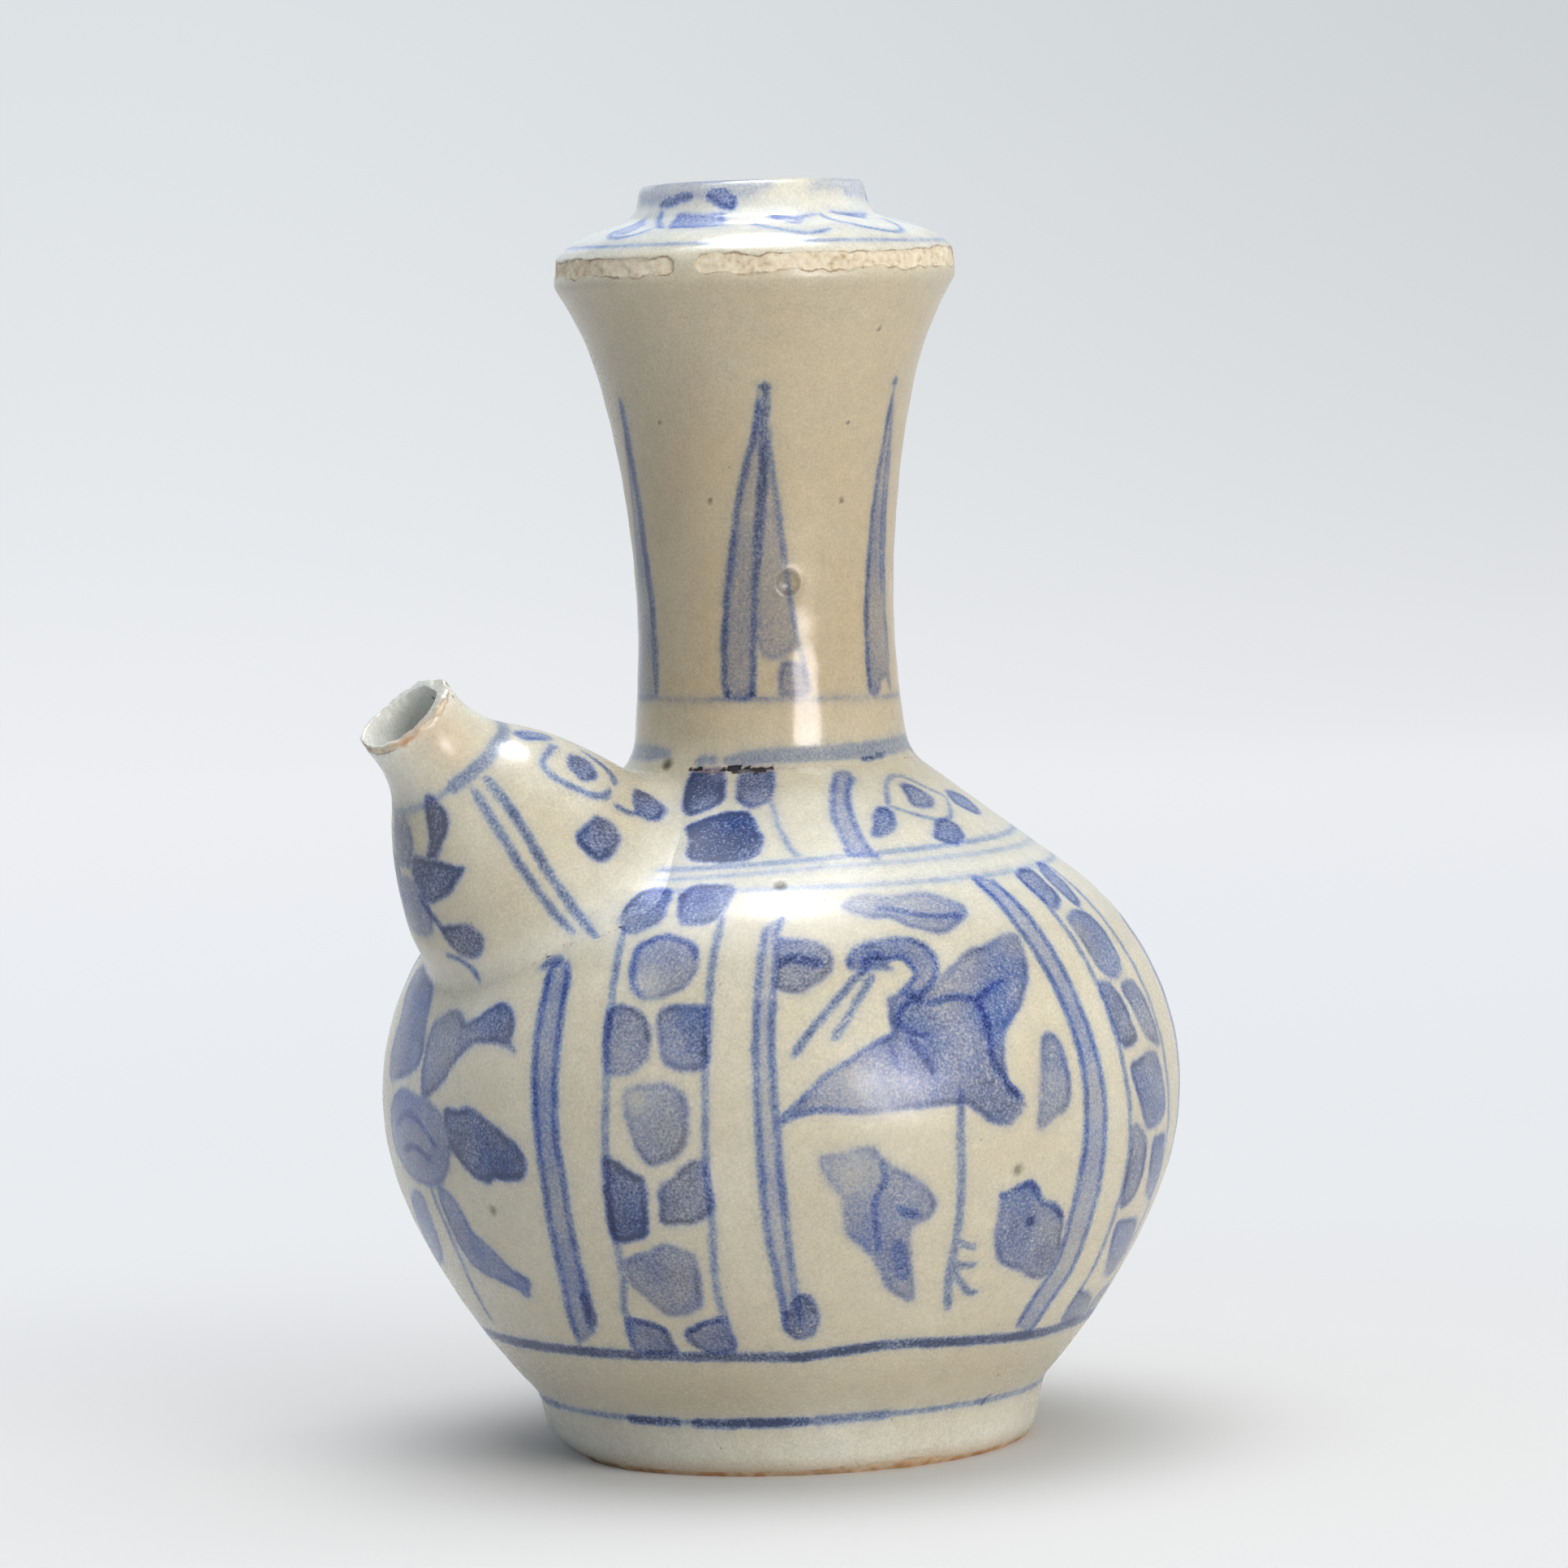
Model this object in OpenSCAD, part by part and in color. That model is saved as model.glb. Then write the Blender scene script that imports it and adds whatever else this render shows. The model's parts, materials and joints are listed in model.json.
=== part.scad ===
// Kendi: a pouring vessel of porcelain with a round body, a tall neck used as the grip,
// a flanged mouth for filling and a breast-shaped spout for pouring.
// It is thrown in five pieces and stuck together with slip before firing.
// Origin: centre of the foot ring on the surface it stands on. +Z is up, the spout points to -X.

/* [Foot] */
// Height of the foot ring, from the ground to the bowl
foot_h = 8.4; // [5:0.1:14]
// Radius of the foot ring where it leaves the bowl
foot_top_r = 36.4; // [30:0.1:42]
// Radius of the foot ring above its bevel
foot_low_r = 34.9; // [29:0.1:41]
// Width of the bevel round the outside of the foot ring
foot_bevel = 1.4; // [0.4:0.1:2]
// Wall of the foot ring where it meets the ground
foot_wall = 5; // [3:0.1:8]
// Depth of the hollow under the base
base_recess = 5.4; // [2:0.1:8]
// Thickness of the base
base_t = 5; // [3:0.1:8]

/* [Body] */
// Largest radius of the body, at the belly seam
body_r = 57.3; // [52:0.1:66]
// Wall of the two bowls
body_wall = 4; // [2.5:0.1:6]
// Arc radius of the lower bowl, just under the belly seam
belly_arc_r = 38; // [30:0.5:48]
// Turn of that arc, before the flatter arc that runs to the foot
belly_turn = 22; // [14:0.5:30]
// Radius of the flatter arc that runs to the foot
belly_low_r = 90; // [70:1:140]
// Arc radius of the upper bowl, just over the belly seam
shoulder_arc_r = 37.5; // [30:0.5:46]
// Turn of that arc, before the straight shoulder: also the shoulder's own slope
shoulder_turn = 52.5; // [46:0.5:58]

/* [Neck] */
// Radius of the neck at its waist
neck_waist_r = 18.4; // [15:0.1:22]
// Wall of the neck
neck_wall = 3.4; // [2.2:0.1:4.4]
// Hollow curve of the neck, as the radius of its long arc
neck_curve_r = 140; // [110:1:200]
// Height from the fillet at the neck's foot to its waist
neck_low_h = 18.3; // [10:0.1:26]
// Height from the waist to where the neck starts to flare
neck_high_h = 33.9; // [22:0.1:44]
// Fillet where the neck meets the shoulder
neck_fillet_r = 3; // [1.5:0.1:5]
// Arc radius of the flare under the flange
flare_r = 45; // [34:0.5:60]
// Height of the upright edge of the flare, under the mouth seam
flare_edge = 1.7; // [0.5:0.1:2.5]

/* [Mouth] */
// Radius of the flange, the widest place of the mouth
flange_r = 28.6; // [25:0.1:34]
// Radius of the upright rim round the mouth
rim_r = 16.2; // [13.5:0.1:19]
// Wall of the mouth and its rim
mouth_wall = 3.3; // [2:0.1:4.2]
// Round edge of the flange, over the mouth seam
flange_edge_r = 2.2; // [1:0.1:4]
// Turn of the round edge, before the dome
flange_turn = 55; // [45:0.5:62]
// Arc radius of the dome that slopes up to the rim
dome_r = 22; // [18:0.5:30]
// Cove between the dome and the rim
cove_r = 4; // [2.5:0.1:6]
// Straight height of the rim, under its round lip
rim_h = 0.3; // [0.2:0.1:6]

/* [Spout] */
// Angle of the spout's axis above the level
spout_tilt = 51; // [44:0.5:58]
// Radius of the spout where it meets the shoulder
spout_root_r = 20.2; // [17:0.1:23]
// Arc radius of the flare at the root of the spout
root_flare_r = 14; // [8:0.5:20]
// Slope of the flare at its foot
root_slope = 40; // [30:0.5:46]
// Height over the shoulder at which the flare becomes the bulb
bulb_foot_h = 1.3; // [0.2:0.1:3]
// Slope of the bulb at its foot
bulb_slope = 16; // [8:0.5:20]
// Arc radius of the bulb
bulb_arc_r = 53; // [40:0.5:70]
// Arc radius of the hollow curve from the bulb to the nozzle
nozzle_cove_r = 12; // [8:0.5:18]
// Outer radius of the nozzle
nozzle_r = 7.3; // [6.4:0.1:9]
// Radius of the bore through the nozzle
nozzle_bore_r = 5.4; // [3.5:0.1:6]
// Straight length of the nozzle, behind its lip
nozzle_h = 2.9; // [1.5:0.1:12]
// Wall of the spout
spout_wall = 3; // [2:0.1:4]
// Radius of the hole through the shoulder, under the spout
spout_hole_r = 8; // [5:0.1:11]
// Clear strip of shoulder between the neck and the spout
spout_gap = 2.1; // [0.4:0.1:6]

/* [Slip] */
// Thickness of the slip in the belly, neck and spout seams
slip_t = 0.5; // [0.3:0.05:1]
// Thickness of the slip in the mouth seam, bare and rough at the flange's edge
mouth_slip_t = 1.6; // [0.8:0.1:2.4]

/* [Hidden] */
$fn = 96;
// Longest straight step along an arc of an outline
arc_step = 2.2;
// Turn of each straight step round the lip of the mouth
lip_turn = 30;

biscuit = "#d9cdbd";
glaze = "#dbd6ca";
tan_glaze = "#d2c6b0";

// Every outline below is a chain of arcs. An arc is known by its centre, its radius and the
// direction of the surface's outward normal, as an angle from the radial direction.
function heading(a) = [cos(a), sin(a)];
// End of an arc that starts at p: a plus radius bulges out, a minus radius hollows in.
function arc_end(p, r, from, to) = p + r * (heading(to) - heading(from));
function arc_centre(p, r, from) = p - r * heading(from);
// Points along such an arc, without its last one, which is the first of what follows
function arc(p, r, from, to) =
  let (steps = max(2, ceil(abs(r * (to - from)) * PI / 180 / arc_step)))
    [for (i = [0 : steps - 1]) arc_end(p, r, from, from + (to - from) * i / steps)];

// Lower bowl: from the foot ring up to the belly seam
belly_in = body_r - belly_arc_r * (1 - cos(belly_turn));
foot_turn = acos(cos(belly_turn) - (belly_in - foot_top_r) / belly_low_r);
foot_top = [foot_top_r, foot_h];
belly_low = arc_end(foot_top, belly_low_r, -foot_turn, -belly_turn);
belly_low_c = arc_centre(foot_top, belly_low_r, -foot_turn);
belly_top = arc_end(belly_low, belly_arc_r, -belly_turn, 0);
belly_z = belly_top[1];
floor_z = base_recess + base_t;
floor_turn = asin((belly_low_c[1] - floor_z) / (belly_low_r - body_wall));

// Upper bowl: from the belly seam up to the flat seat of the neck
shoulder_z = belly_z + slip_t;
shoulder_start = [body_r, shoulder_z];
shoulder_end = arc_end(shoulder_start, shoulder_arc_r, 0, shoulder_turn);
up_slope = heading(shoulder_turn + 90);

// Neck: fillet, long hollow arc and flare, with angles that follow from the heights
neck_low_a = asin(neck_low_h / neck_curve_r);
neck_high_a = asin(neck_high_h / neck_curve_r);
neck_foot_r = neck_waist_r + neck_curve_r * (1 - cos(neck_low_a));
seat_r = neck_foot_r + neck_fillet_r * (cos(neck_low_a) - cos(shoulder_turn));
seat = shoulder_end + up_slope * (shoulder_end[0] - seat_r) / sin(shoulder_turn);
neck_z = seat[1] + slip_t;
neck_foot = [neck_foot_r, neck_z + neck_fillet_r * (sin(shoulder_turn) - sin(neck_low_a))];
neck_flare = arc_end(neck_foot, -neck_curve_r, neck_low_a, -neck_high_a);
flare_turn = acos(cos(neck_high_a) - (flange_r - neck_flare[0]) / flare_r);
flare_c = arc_centre(neck_flare, -flare_r, -neck_high_a);
flare_end = arc_end(neck_flare, -flare_r, -neck_high_a, -flare_turn);
neck_top_z = flare_end[1] + flare_edge;
neck_top_a = asin((neck_top_z - flare_c[1]) / (flare_r + neck_wall));
neck_in_foot = neck_foot - neck_wall * heading(neck_low_a);
neck_in_flare = neck_flare - neck_wall * heading(-neck_high_a);
neck_in_top = flare_c + (flare_r + neck_wall) * [-cos(neck_top_a), sin(neck_top_a)];

// Mouth: round edge, dome, cove and rim with its round lip
mouth_z = neck_top_z + mouth_slip_t;
dome_start = arc_end([flange_r, mouth_z], flange_edge_r, 0, flange_turn);
dome_c = arc_centre(dome_start, dome_r, flange_turn);
dome_turn = acos((rim_r + cove_r - dome_c[0]) / (dome_r + cove_r));
dome_end = arc_end(dome_start, dome_r, flange_turn, dome_turn);
rim_foot = arc_end(dome_end, -cove_r, dome_turn, 0);
mouth_bore_r = rim_r - mouth_wall;
lip_r = mouth_wall / 2;
lip_z = rim_foot[1] + rim_h;
dome_in_a = asin((mouth_z - dome_c[1]) / (dome_r - mouth_wall));
dome_in = dome_c + (dome_r - mouth_wall) * heading(dome_in_a);
bore_in_a = acos((mouth_bore_r - dome_c[0]) / (dome_r - mouth_wall));
bore_foot = dome_c + (dome_r - mouth_wall) * heading(bore_in_a);

// Spout, in its own frame: [radius, distance along the axis], with 0 on the shoulder
root_c_t = bulb_foot_h + root_flare_r * sin(bulb_slope);
root_c = [spout_root_r + sqrt(root_flare_r * root_flare_r - root_c_t * root_c_t), root_c_t];
root_end = root_c - root_flare_r * heading(root_slope);
bulb_foot = root_c - root_flare_r * heading(bulb_slope);
bulb_c = arc_centre(bulb_foot, bulb_arc_r, bulb_slope);
ring_slope = acos((nozzle_r + nozzle_cove_r - bulb_c[0]) / (bulb_arc_r + nozzle_cove_r));
ring = arc_end(bulb_foot, bulb_arc_r, bulb_slope, ring_slope);
nozzle_foot = arc_end(ring, -nozzle_cove_r, ring_slope, 0);
spout_len = nozzle_foot[1] + nozzle_h;
// The root runs on into the body, which cuts it to the shape of the shoulder
root_depth = body_wall + 2 * spout_wall;
root = root_end + heading(root_slope - 90) * (root_end[1] + root_depth) / cos(root_slope);
bulb_in_r = bulb_arc_r - spout_wall;
bore_a = acos((nozzle_bore_r - bulb_c[0]) / bulb_in_r);
bulb_in_top = bulb_c + bulb_in_r * heading(bore_a);
bulb_in_foot = bulb_foot - spout_wall * heading(bulb_slope);
// Length of the cutter of the hole under the spout, well past both faces of the shoulder
hole_cut = 4 * root_depth;
// Where the spout's axis meets the line of the shoulder
spout_root = seat - up_slope * (spout_root_r + spout_gap);

// Turns an outline in the spout's own frame round the spout's axis, in its place on the shoulder
module on_spout_axis() {
  translate([-spout_root[0], 0, spout_root[1]])
    rotate([0, spout_tilt - 90, 0]) children();
}

// The upper bowl as if it were full, grown by some slip: what the spout's root is cut by
module full_shoulder(grow = 0) {
  start = shoulder_start + [grow, 0];
  end = shoulder_end + grow * heading(shoulder_turn);
  tip = end + up_slope * end[0] / sin(shoulder_turn);
  rotate_extrude()
    polygon(concat(
      [[0, shoulder_z]],
      arc(start, shoulder_arc_r + grow, 0, shoulder_turn),
      [end, tip]
    ));
}

// Wall of the spout, before its root is cut
module spout_tube() {
  on_spout_axis()
    rotate_extrude()
      polygon(concat(
        [root],
        arc(root_end, -root_flare_r, root_slope, bulb_slope),
        arc(bulb_foot, bulb_arc_r, bulb_slope, ring_slope),
        arc(ring, -nozzle_cove_r, ring_slope, 0),
        [nozzle_foot, [nozzle_r, spout_len], [nozzle_bore_r, spout_len]],
        arc(bulb_in_top, bulb_in_r, bore_a, bulb_slope),
        [bulb_in_foot, [bulb_in_foot[0], -root_depth]]
      ));
}

// Lower half of the body, with the foot ring turned from the same clay
module lower_bowl() {
  foot_in_r = foot_low_r - foot_bevel - foot_wall;
  belly_low_in = belly_low - body_wall * heading(-belly_turn);
  floor_edge = belly_low_c + (belly_low_r - body_wall) * heading(-floor_turn);
  color(glaze)
    rotate_extrude()
      polygon(concat(
        [[0, base_recess], [foot_in_r, base_recess], [foot_in_r, 0]],
        [[foot_low_r - foot_bevel, 0], [foot_low_r, foot_bevel]],
        arc(foot_top, belly_low_r, -foot_turn, -belly_turn),
        arc(belly_low, belly_arc_r, -belly_turn, 0),
        [belly_top],
        arc(belly_top - [body_wall, 0], belly_arc_r - body_wall, 0, -belly_turn),
        arc(belly_low_in, belly_low_r - body_wall, -belly_turn, -floor_turn),
        [floor_edge, [0, floor_z]]
      ));
}

// Slip between the two bowls
module belly_slip() {
  color(biscuit)
    translate([0, 0, belly_z])
      rotate_extrude()
        translate([body_r - body_wall, 0]) square([body_wall, slip_t]);
}

// Upper half of the body, with a flat seat for the neck and the hole under the spout
module upper_bowl() {
  shoulder_in = shoulder_end - body_wall * heading(shoulder_turn);
  open_r = neck_in_foot[0];
  open_in = shoulder_in + up_slope * (shoulder_in[0] - open_r) / sin(shoulder_turn);
  color(glaze)
    difference() {
      rotate_extrude()
        polygon(concat(
          arc(shoulder_start, shoulder_arc_r, 0, shoulder_turn),
          [shoulder_end, seat, [open_r, seat[1]], open_in],
          arc(shoulder_in, shoulder_arc_r - body_wall, shoulder_turn, 0),
          [shoulder_start - [body_wall, 0]]
        ));
      on_spout_axis()
        cylinder(h = hole_cut, r = spout_hole_r, center = true);
    }
}

// Slip between the shoulder and the neck
module neck_slip() {
  color(biscuit)
    translate([0, 0, seat[1]])
      rotate_extrude()
        translate([neck_in_foot[0], 0]) square([seat_r - neck_in_foot[0], slip_t]);
}

// Neck: waisted tube, with a fillet at its foot and a flare up to the flange
module neck() {
  color(tan_glaze)
    rotate_extrude()
      polygon(concat(
        arc([seat_r, neck_z], -neck_fillet_r, shoulder_turn, neck_low_a),
        arc(neck_foot, -neck_curve_r, neck_low_a, -neck_high_a),
        arc(neck_flare, -flare_r, -neck_high_a, -flare_turn),
        [flare_end, [flange_r, neck_top_z]],
        arc(neck_in_top, -(flare_r + neck_wall), -neck_top_a, -neck_high_a),
        arc(neck_in_flare, -(neck_curve_r + neck_wall), -neck_high_a, neck_low_a),
        [neck_in_foot, [neck_in_foot[0], neck_z]]
      ));
}

// Slip between the neck and the mouth, bare where it shows at the edge of the flange
module mouth_slip() {
  in_r = max(neck_in_top[0], dome_in[0]);
  color(biscuit)
    translate([0, 0, neck_top_z])
      rotate_extrude()
        translate([in_r, 0]) square([flange_r - in_r, mouth_slip_t]);
}

// Mouth: hollow dome that closes the flange in to the upright rim, with a straight bore
module mouth_cap() {
  color(glaze)
    rotate_extrude()
      polygon(concat(
        arc([flange_r, mouth_z], flange_edge_r, 0, flange_turn),
        arc(dome_start, dome_r, flange_turn, dome_turn),
        arc(dome_end, -cove_r, dome_turn, 0),
        [rim_foot],
        [for (a = [0 : lip_turn : 180]) [rim_r - lip_r, lip_z] + lip_r * heading(a)],
        arc(bore_foot, dome_r - mouth_wall, bore_in_a, dome_in_a),
        [dome_in]
      ));
}

// Slip under the root of the spout, in the shape of the shoulder
module spout_slip() {
  color(biscuit)
    difference() {
      intersection() {
        spout_tube();
        full_shoulder(slip_t);
      }
      full_shoulder();
    }
}

// Spout: nozzle, hollow bulb and flared root, cut to the shoulder
module spout() {
  color(glaze)
    difference() {
      spout_tube();
      full_shoulder(slip_t);
    }
}

lower_bowl();
belly_slip();
upper_bowl();
neck_slip();
neck();
mouth_slip();
mouth_cap();
spout_slip();
spout();
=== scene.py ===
import json
from itertools import product
from math import ceil, cos, pi, radians, sin

import bmesh
import bpy
import numpy as np
from mathutils import Matrix, Vector
from mathutils.bvhtree import BVHTree


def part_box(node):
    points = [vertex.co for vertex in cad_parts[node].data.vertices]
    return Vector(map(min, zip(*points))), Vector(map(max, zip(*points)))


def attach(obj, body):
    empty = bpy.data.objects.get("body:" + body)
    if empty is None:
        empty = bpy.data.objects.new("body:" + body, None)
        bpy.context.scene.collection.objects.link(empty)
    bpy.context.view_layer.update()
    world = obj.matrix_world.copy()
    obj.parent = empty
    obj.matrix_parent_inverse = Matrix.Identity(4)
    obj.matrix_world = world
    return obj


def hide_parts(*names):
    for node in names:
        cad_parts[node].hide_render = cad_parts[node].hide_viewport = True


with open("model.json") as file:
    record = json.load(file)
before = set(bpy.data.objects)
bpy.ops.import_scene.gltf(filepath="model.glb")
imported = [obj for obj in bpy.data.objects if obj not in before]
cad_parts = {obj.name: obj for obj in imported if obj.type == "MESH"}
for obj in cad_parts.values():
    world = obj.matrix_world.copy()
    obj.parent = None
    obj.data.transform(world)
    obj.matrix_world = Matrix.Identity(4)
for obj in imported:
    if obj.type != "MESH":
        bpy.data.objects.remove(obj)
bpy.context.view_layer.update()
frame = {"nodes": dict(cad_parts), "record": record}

# Lengths are in millimetres and angles in degrees, until a mesh is made.
# On the vessel, deg runs round the axis from the spout towards the camera's side, and s is the
# length along the outer outline, up from the foot.
MM = 0.001
STEP = 0.1
VESSEL = ("lower_bowl", "belly_slip", "upper_bowl", "neck_slip", "neck", "mouth_slip", "mouth_cap")
GLAZE_LAP = 0.5
FAR = 3.0


# Short ways to write what is needed often

def unit(values):
    """The values held between 0 and 1."""
    return np.clip(values, 0, 1)


def bell(values, width):
    """1 where the values are 0, and next to nothing beyond twice the width."""
    return np.exp(-((values / width) ** 2))


def apart(deg, other):
    """Angle from other to deg, between -180 and 180."""
    return (deg - other + 180) % 360 - 180


def patch(deg, middle, half, top):
    """1 round a middle angle, falling to 0 at half times top from it."""
    return unit(top - np.abs(apart(deg, middle)) / half)


def deg_of(points):
    return np.degrees(np.arctan2(-points[:, 1], -points[:, 0]))


def rho_of(points):
    return np.hypot(points[:, 0], points[:, 1])


def widened(points, scale):
    """The points with their distances from the vessel's axis scaled."""
    return points * np.stack([scale, scale, np.ones(len(scale))], axis=1)


def steps(low, high, step):
    """Even values from low to high, no further apart than the step."""
    return np.linspace(low, high, max(2, ceil((high - low) / step) + 1))


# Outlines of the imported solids

def solids(names):
    """Search tree over some nodes' solids."""
    points = []
    faces = []
    for name in names:
        mesh = frame["nodes"][name].data
        start = len(points)
        points += [v.co / MM for v in mesh.vertices]
        faces += [[start + i for i in face.vertices] for face in mesh.polygons]
    return BVHTree.FromPolygons(points, faces)


def reach(tree, start, way):
    """Distance from a point to the first surface in that direction."""
    distance = tree.ray_cast(Vector(start), Vector(way))[3]
    return np.nan if distance is None else distance


def rounded(values, sigma):
    """Values along an outline, averaged over about sigma to both sides."""
    half = int(4 * sigma / STEP)
    weights = np.exp(-0.5 * (np.arange(-half, half + 1) * STEP / sigma) ** 2)
    padded = np.pad(values, half, mode="reflect", reflect_type="odd")
    return np.convolve(padded, weights / weights.sum(), mode="valid")


def resampled(points):
    """Lengths along a path of points, and the points there, in even steps."""
    points = np.array(points)
    points = points[~np.isnan(points).any(axis=1)]
    along = np.concatenate([[0], np.cumsum(np.hypot(*np.diff(points, axis=0).T))])
    s = np.arange(0, along[-1], STEP)
    return s, np.interp(s, along, points[:, 0]), np.interp(s, along, points[:, 1])


def top_of(node):
    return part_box(node)[1].z / MM


def foot_of(node):
    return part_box(node)[0].z / MM


OUTSIDE = 200.0
ASIDE = 0.01
MIDWAY = 40.0
OFF_AXIS = 5.0
SOFT_EDGE = 0.9
CRISP_EDGE = 0.35
INNER_EDGE = 0.6
vessel_solids = solids(VESSEL)
height = top_of("mouth_cap")
levels = np.arange(0.01, height, 0.02)
foot_r = OUTSIDE - reach(vessel_solids, (OUTSIDE, ASIDE, 0.01), (-1, 0, 0))
foot_in_r = reach(vessel_solids, (0, ASIDE, 2), (1, 0, 0))
recess_z = reach(vessel_solids, (OFF_AXIS, OFF_AXIS, -MIDWAY), (0, 0, 1)) - MIDWAY
floor_z = MIDWAY - reach(vessel_solids, (OFF_AXIS, OFF_AXIS, MIDWAY), (0, 0, -1))

outer_points = [(foot_r, 0)]
outer_points += [(OUTSIDE - reach(vessel_solids, (OUTSIDE, ASIDE, z), (-1, 0, 0)), z) for z in levels]
out_s, raw_r, raw_z = resampled(outer_points)
crisp = unit((raw_z - top_of("neck") + 4) / 3)
out_r = rounded(raw_r, SOFT_EDGE) * (1 - crisp) + rounded(raw_r, CRISP_EDGE) * crisp
out_z = rounded(raw_z, SOFT_EDGE) * (1 - crisp) + rounded(raw_z, CRISP_EDGE) * crisp
out_z = np.maximum.accumulate(out_z + np.arange(len(out_z)) * 1e-6)

inner_levels = levels[levels > floor_z + 0.02]
inner_points = [(reach(vessel_solids, (0, ASIDE, z), (1, 0, 0)), z) for z in inner_levels]
in_s, in_r, in_z = resampled(inner_points)
in_r = rounded(in_r, INNER_EDGE)
in_z = np.maximum.accumulate(rounded(in_z, INNER_EDGE) + np.arange(len(in_z)) * 1e-6)


def s_at(z):
    return np.interp(z, out_z, out_s)


def r_at(s):
    return np.interp(s, out_s, out_r)


def z_at(s):
    return np.interp(s, out_s, out_z)


NECK_S = s_at(foot_of("neck"))
MOUTH_S = s_at(top_of("neck"))
SEAM_S = s_at((foot_of("neck_slip") + top_of("neck_slip")) / 2)


# Unevenness of hand-made clay and glaze

def noise(points, size, seed):
    """Smooth noise between -1 and 1 whose features have that size."""
    table = np.random.default_rng(seed).uniform(-1, 1, (32, 32, 32))
    place = points / size
    cell = np.floor(place).astype(int)
    part = place - cell
    part = part * part * (3 - 2 * part)
    total = np.zeros(len(points))
    for corner in product((0, 1), repeat=3):
        weight = np.prod(np.where(corner, part, 1 - part), axis=1)
        i, j, k = ((cell + corner) % 32).T
        total += weight * table[i, j, k]
    return total


# Burst bubbles and pits in the glaze: deg, s, radius, depth, height of the rim round it
PITS = (
    (72, NECK_S + 26, 1.7, 0.5, 0.1),
    (63, 96, 0.95, 0.25, 0.02),
    (96.5, 50.2, 0.8, 0.3, 0.03),
    (15, 45.8, 0.8, 0.3, 0.03),
    (188, NECK_S + 38, 1.1, 0.25, 0.1),
    (215, 61, 0.8, 0.25, 0.05),
    (301, 33, 0.7, 0.25, 0.03),
    (16, SEAM_S + 0.8, 1.1, 0.1, 0),
    (40, NECK_S + 38, 0.4, 0.05, 0),
    (97, NECK_S + 37.4, 0.4, 0.05, 0),
    (98, NECK_S + 48.4, 0.3, 0.03, 0),
    (21, NECK_S + 49.3, 0.3, 0.03, 0),
    (106, NECK_S + 62, 0.35, 0.03, 0),
)
BAND_MID = 1.0
BAND_HALF = 1.25
# Places where the band is still glazed over: deg, half width
BAND_GAPS = ((42, 2.8), (151, 1.6), (236, 3.2), (318, 1.8))
FOOT_BARE = 1.25
# How far the thrown clay is off its even outline
BODY_R = 57.0
OVAL = 0.16
THREE_SIDED = 0.09
TURNING_MARKS = 0.02
TURNING_PITCH = 6.3
DOME_BULGE = 0.25
DOME_DIP = 0.1
FLAKE_DEPTH = 0.2


def bare_band(deg, s, points):
    """Distance outside the rough band where the glaze has flaked off the flange's edge."""
    half = BAND_HALF + 0.5 * noise(points, 4.5, 11) + 0.35 * noise(points, 1.6, 12)
    for gap, width in BAND_GAPS:
        edge = unit((np.abs(apart(deg, gap)) - width) / 3.2)
        half = (half + 0.5) * np.sqrt(1 - (1 - edge) ** 2) - 0.5
    return np.abs(s - MOUTH_S - BAND_MID) - half


def bare_foot(s, points):
    """Distance outside the unglazed edge of the foot."""
    return s - FOOT_BARE - 0.8 * noise(points, 9, 13) - 0.3 * noise(points, 2, 14)


def from_pit(deg, s, pit_deg, pit_s, radius):
    """Distance from the middle of a pit, as a share of its radius."""
    return np.hypot(apart(deg, pit_deg) * r_at(s) * pi / 180, s - pit_s) / radius


def pit_floor(deg, s):
    """1 on the dark floor of a pit, 0 away from all of them."""
    dark = np.zeros(len(deg))
    for pit_deg, pit_s, radius, depth, rim in PITS:
        d = from_pit(deg, s, pit_deg, pit_s, radius)
        dark = np.maximum(dark, unit(1.7 - 1.5 * d) * (1 - 8 * rim))
        dark = np.maximum(dark, 0.5 * bell(d - 0.9, 0.22))
    return dark


def thrown(deg, s, points):
    """How far the vessel's outer surface stands out from its even outline."""
    angle = np.radians(deg)
    off = OVAL * np.cos(2 * angle - 0.7) + THREE_SIDED * np.cos(3 * angle + 0.9)
    off *= r_at(s) / BODY_R
    off += TURNING_MARKS * np.sin(s * 2 * pi / TURNING_PITCH + 0.8 * np.sin(angle))
    off += 0.07 * noise(points, 9, 15) + 0.02 * noise(points, 2.2, 16)
    off += DOME_BULGE * bell(s - MOUTH_S - 8, 2.2) - DOME_DIP * bell(s - MOUTH_S - 4.5, 1.2)
    for pit_deg, pit_s, radius, depth, rim in PITS:
        d = from_pit(deg, s, pit_deg, pit_s, radius)
        off -= depth * unit(1 - d) ** 0.7
        off += rim * bell(d - 1.15, 0.3)
    flaked = unit(0.5 - bare_band(deg, s, points) / 0.5)
    off += flaked * (0.16 * noise(points, 1.6, 17) + 0.06 * noise(points, 0.6, 18) - FLAKE_DEPTH)
    groove = bell(s - SEAM_S, 0.5)
    off -= groove * unit(0.1 + 0.3 * noise(points, 1.4, 19))
    chipped = unit(1 - s / 2.2)
    return off + chipped * (0.22 * noise(points, 2.6, 20) + 0.1 * noise(points, 0.8, 21))


# Meshes

def ring_faces(rows, columns, closed=True):
    """Faces between rows of points, each row a ring, and if closed from the last row to the first."""
    faces = []
    for i in range(rows if closed else rows - 1):
        low = i * columns
        high = (i + 1) % rows * columns
        for j in range(columns):
            k = (j + 1) % columns
            faces.append((low + j, low + k, high + k, high + j))
    return faces


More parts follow.
